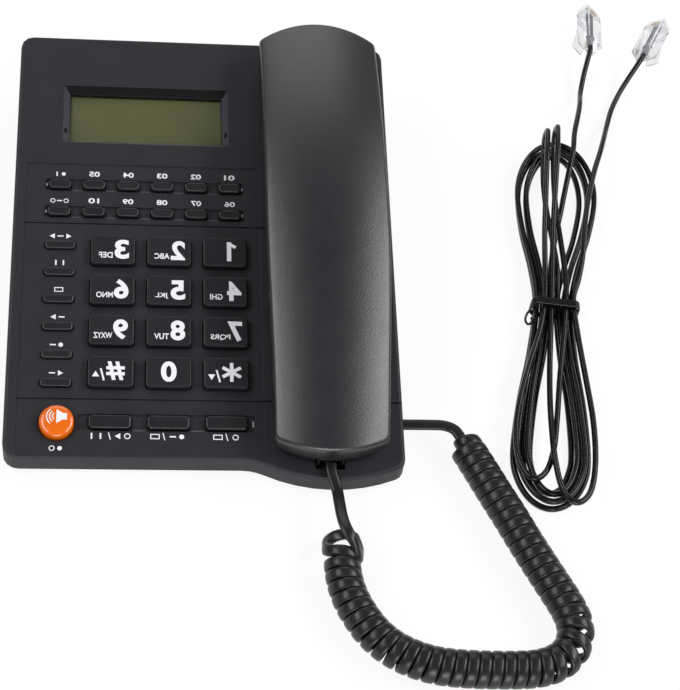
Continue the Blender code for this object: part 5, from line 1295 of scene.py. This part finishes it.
@dataclass
class SpeakerKey:
    """The round orange key with a loudspeaker sign: a box, a cone and arcs."""

    x: float = -55.4
    s: float = 13.6998
    radius: float = 6.45
    height: float = 3.2
    dome: float = 1.5
    flange_radius: float = 8.55
    flange_top: float = -2.5
    flange_bottom: float = -3.5
    sign_shift: float = 1.3
    horn: Sequence[Pair] = ((-3.9, -1.35), (-2.3, -1.35), (0, -2.9), (0, 2.9), (-2.3, 1.35),
                                           (-3.9, 1.35))
    arcs: Sequence[float] = (1.6, 2.7, 3.8)
    arc_stroke: float = 0.22
    arc_half_angle: float = 50
    arc_steps: int = 12

    def dome_height(self, radius: float) -> float:
        """Height of the dome at a radius."""
        share = min((radius / self.radius) ** 2, 1.0)
        return self.height - self.dome + self.dome * sqrt(1 - share * share)

    def cap(self) -> BMesh:
        """The domed cap and its flange, spun from a profile of radius and height.

        Returns:
            Their mesh.
        """
        profile = [(0, self.flange_bottom), (self.flange_radius, self.flange_bottom),
                   (self.flange_radius, self.flange_top), (self.radius, self.flange_top)]
        for step in range(17):
            turn = step / 16 * pi / 2
            profile.append((self.radius * max(cos(turn), 0.0) ** 0.5,
                            self.height - self.dome + self.dome * sin(turn)))
        bm = bmesh.new()
        chain = [bm.verts.new((radius * MM, 0, height * MM)) for radius, height in profile]
        edges = [bm.edges.new(pair) for pair in zip(chain, chain[1:])]
        bmesh.ops.spin(bm, geom=chain + edges, cent=(0, 0, 0), axis=(0, 0, 1), angle=2 * pi, steps=72,
                       use_merge=True)
        bmesh.ops.remove_doubles(bm, verts=bm.verts[:], dist=0.001 * MM)
        bmesh.ops.recalc_face_normals(bm, faces=bm.faces[:])
        return bm

    def sign(self) -> BMesh:
        """The loudspeaker, as it reads before it is mirrored.

        Returns:
            The flat mesh laid on the dome.
        """
        bm = bmesh.new()
        bm.faces.new([bm.verts.new((x * MM, y * MM, 0)) for x, y in self.horn])
        for radius in self.arcs:
            turns = [radians(self.arc_half_angle * (2 * n / self.arc_steps - 1))
                     for n in range(self.arc_steps + 1)]
            near, far = [[bm.verts.new(((reach * cos(turn) - 0.2) * MM, reach * sin(turn) * MM, 0))
                          for turn in turns] for reach in (radius - self.arc_stroke, radius + self.arc_stroke)]
            for k in range(self.arc_steps):
                bm.faces.new((near[k], far[k], far[k + 1], near[k + 1]))
        bmesh.ops.triangulate(bm, faces=[f for f in bm.faces if len(f.verts) > 4])
        bmesh.ops.subdivide_edges(bm, edges=[e for e in bm.edges if e.calc_length() > 1.2 * MM], cuts=3,
                                  use_grid_fill=True)
        bmesh.ops.triangulate(bm, faces=bm.faces[:])
        thicken(bm)
        for vert in bm.verts:
            vert.co.z += self.dome_height(hypot(vert.co.x / MM, vert.co.y / MM + self.sign_shift)) * MM
        return placed(bm, at(0, self.sign_shift))

    def build(self) -> None:
        """Make the key and its sign."""
        cap = make_piece("orange_key_cap", self.cap(), "orange_plastic", "speaker_key_body",
                         PANEL @ at(self.x, self.s), crease=35)
        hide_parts("speaker_key")
        print_at("orange_key_sign", self.sign(), "speaker_key_body", (self.x, self.s, 0))


@dataclass
class Display:
    """The sunken display: its faced slopes, window, liquid-crystal panel and dark mask."""

    left: float = -57.0
    width: float = 66.995
    near: float = 138.4328
    length: float = 27.9991
    bevel: float = 2.7
    depth: float = 3
    facing_gap: float = 0.12
    facing_lift: float = 0.03
    pane_depth: float = 4.8
    pane_inset: float = 2.9

    def bevel_facing(self, side: int) -> BMesh:
        """A thin facing on one slope of the recess, mitred at its ends.

        Args:
            side: Quarter turns from the far slope, anticlockwise.

        Returns:
            Its mesh on the panel.
        """
        wide, across = (self.length, self.width) if side % 2 else (self.width, self.length)
        bm = plate(wide - 2 * self.facing_gap, self.bevel - 2 * self.facing_gap)
        for vert in bm.verts:
            inward = self.bevel / 2 * MM - vert.co.y
            vert.co.x -= copysign(inward, vert.co.x)
            vert.co.y += (across - self.bevel) / 2 * MM
            vert.co.z = self.facing_lift * MM - inward * self.depth / self.bevel
        return placed(thicken(bm), at(self.left + self.width / 2, self.near + self.length / 2) @ spun(90 * side))

    def build(self) -> None:
        """Face the slopes, the far one in painted shade and the others in painted light, with a small catch in painted
        shade on the side ones, dress the window and set the panel behind it.
        """
        # the left, near and right slopes are faced in painted light, the far slope in painted shade
        for side, name in enumerate(("far", "left", "near", "right")):
            make_piece("recess_slope_" + name, self.bevel_facing(side), "painted_lit_bevel_plastic" if side else "painted_shade_plastic",
                       "base", PANEL)
        # the catches are painted near black as the shade in the side slopes' notches
        catches = bmesh.new()
        for x in (self.left + 1.15, self.left + self.width - 1.15):
            merge(catches, block((-0.55, -1.1, -0.6), (0.55, 1.1, 0.45), 0.3), at(x, self.near + 6.5, -1.1))
        make_piece("recess_catches", catches, "painted_shade_plastic", "base", PANEL)
        dress_node("display_window", "display_glass")
        dress_node("display_module", "lcd_mask")
        inset, top = self.pane_inset, -self.pane_depth
        pane = block((self.left + inset, self.near + inset, top + 0.02),
                     (self.left + self.width - inset, self.near + self.length - inset, top + 0.22), 0.05)
        make_piece("lcd_pane", pane, "lcd_panel", "base", PANEL)


# ---------------------------------------------------------------- handset and the rest

@dataclass
class Handset:
    """The handset's back, arched along its length and cambered across, made finer than its CAD shell."""

    length: float = 193.0
    width_front: float = 43.2
    width_back: float = 48
    end_radius: float = 42
    corner_radius: float = 3
    seam_front: float = 6.4
    seam_back: float = 8.6
    seam_rise: float = 15
    camber: float = 4.5
    thickness: float = 2.6
    edge: float = 1.2
    wall: float = 2
    side_steps: int = 44

    def half_width(self, y: float) -> float:
        """Half the width at a distance along the handset."""
        return (self.width_front + (self.width_back - self.width_front) * ease(min(y / self.length / 0.5, 1.0))) / 2

    def seam(self, x: float, y: float) -> float:
        """Height of the seam.

        Args:
            x: Place across the handset.
            y: Place along it.

        Returns:
            The height.
        """
        t = y / self.length
        across = min(abs(x) / self.half_width(y), 1.0)
        arch = self.seam_front + (self.seam_back - self.seam_front) * t + self.seam_rise * 4 * t * (1 - t)
        return arch + self.camber * (1 - across * across)

    def end_points(self, half: float) -> Outline:
        """Half of an end, from its middle to the side.

        Args:
            half: Half the width there.

        Returns:
            Points across and along.
        """
        big, small = self.end_radius, self.corner_radius
        across = half - small
        down = sqrt((big - small) ** 2 - across ** 2)
        corner_turn = atan2(-down, across)
        turns = [-pi / 2 + (corner_turn + pi / 2) * n / 12 for n in range(13)]
        points = [(big * cos(turn), big + big * sin(turn)) for turn in turns]
        turns = [corner_turn * (1 - n / 6) for n in range(1, 7)]
        return points + [(across + small * cos(turn), big - down + small * sin(turn)) for turn in turns]

    def half_outline(self) -> Outline:
        """The right half of the outline, from the front's middle to the back's middle.

        Returns:
            Points across and along.
        """
        front = self.end_points(self.width_front / 2)
        back = [(x, self.length - y) for x, y in reversed(self.end_points(self.width_back / 2))]
        start, end = front[-1][1], back[0][1]
        side = [start + (end - start) * k / self.side_steps for k in range(1, self.side_steps)]
        return front + [(self.half_width(y), y) for y in side] + back

    def ring(self, inset: float, rise: float) -> list[Vector]:
        """Closed ring of the back.

        Args:
            inset: How far it is drawn in from the outline.
            rise: Its height over the seam.

        Returns:
            Its points in metres.
        """
        span, share = 1 - 2 * inset / self.length, 1 - inset / (self.width_back / 2)
        drawn = []
        for x, y in self.half_outline():
            across, along = x * share, inset + y * span
            drawn.append(Vector((across * MM, along * MM, (self.seam(across, along) + rise) * MM)))
        return drawn + [Vector((-p.x, p.y, p.z)) for p in reversed(drawn[1:-1])]

    def shell(self, steps: Outline) -> BMesh:
        """Loft a shell through rings.

        Args:
            steps: Inset and rise of each ring, from the middle inside round the rim to the middle outside.

        Returns:
            The closed mesh.
        """
        bm = bmesh.new()
        bmesh.ops.create_circle(bm, cap_ends=False, segments=len(self.ring(0, 0)), radius=1.0)
        bm.verts.ensure_lookup_table()
        loop, edges = list(bm.verts), bm.edges[:]
        for n, (inset, rise) in enumerate(steps):
            if n:
                made = bmesh.ops.extrude_edge_only(bm, edges=edges)["geom"]
                edges = [g for g in made if isinstance(g, bmesh.types.BMEdge)]
                fresh = {g for g in made if isinstance(g, bmesh.types.BMVert)}
                loop = [[e.other_vert(v) for e in v.link_edges if e.other_vert(v) in fresh][0] for v in loop]
            for vert, spot in zip(loop, self.ring(inset, rise)):
                vert.co = spot
        bmesh.ops.remove_doubles(bm, verts=bm.verts[:], dist=0.004 * MM)
        bmesh.ops.recalc_face_normals(bm, faces=bm.faces[:])
        return bm

    def build(self) -> None:
        """Make the back and set it in place of the CAD shell."""
        half, top, soft, wall = self.width_back / 2, self.thickness, self.edge, self.wall
        steps = [(half * share, top - wall) for share in (1.0, 0.75, 0.5, 0.25)]
        steps += [(wall + soft, top - wall), (wall, 0.0), (0.0, 0.0)]
        for n in range(7):
            turn = pi / 2 * n / 6
            steps.append((soft * (1 - cos(turn)), top - soft + soft * sin(turn)))
        steps += [(soft + (half - soft) * n / 12, top) for n in range(1, 13)]
        back = make_piece("handset_back", self.shell(steps), "handset_plastic", "handset",
                          PANEL @ at(HANDSET_X, -2.5), crease=50)
        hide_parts("handset_upper_shell")


NODE_FINISHES = {
    "cover_plastic": "top_cover", "case_plastic": "bottom_case",
    "foot_rubber": "foot_front_left foot_front_right foot_back_left foot_back_right", "mat_silicone": "keypad_mat",
    "board_lacquer": "main_board", "key_plastic": "hook_switch",
    "plated_steel": "base_speaker receiver_capsule microphone_capsule",
    "jack_plastic": "line_jack cord_jack handset_cord_jack", "handset_plastic": "handset_lower_shell",
    "clear_polycarbonate": "curly_plug_base curly_plug_handset"}


def main() -> None:
    """Build the camera and the cords, then the studio and every sub-assembly."""
    logging.basicConfig(level=logging.INFO, format="%(name)s %(message)s")
    studio = Studio()
    studio.place_camera()
    CurlyCord().build()
    line = LineCord()
    plugs = [LinePlug("line_plug_a", line.place, (16.06, 157.3, 7.6), -0.4, 1),
             LinePlug("line_plug_b", line.place, (44.72, 155.53, 7.6), -20.1, -1)]
    for plug in plugs:
        plug.build()
    line.build(plugs)
    studio.build()
    for finish_name, nodes in NODE_FINISHES.items():
        for name in nodes.split():
            dress_node(name, finish_name)
    for part in (KeyField, SpeakerKey, Display, Handset):
        part().build()


if __name__ == "__main__":
    main()
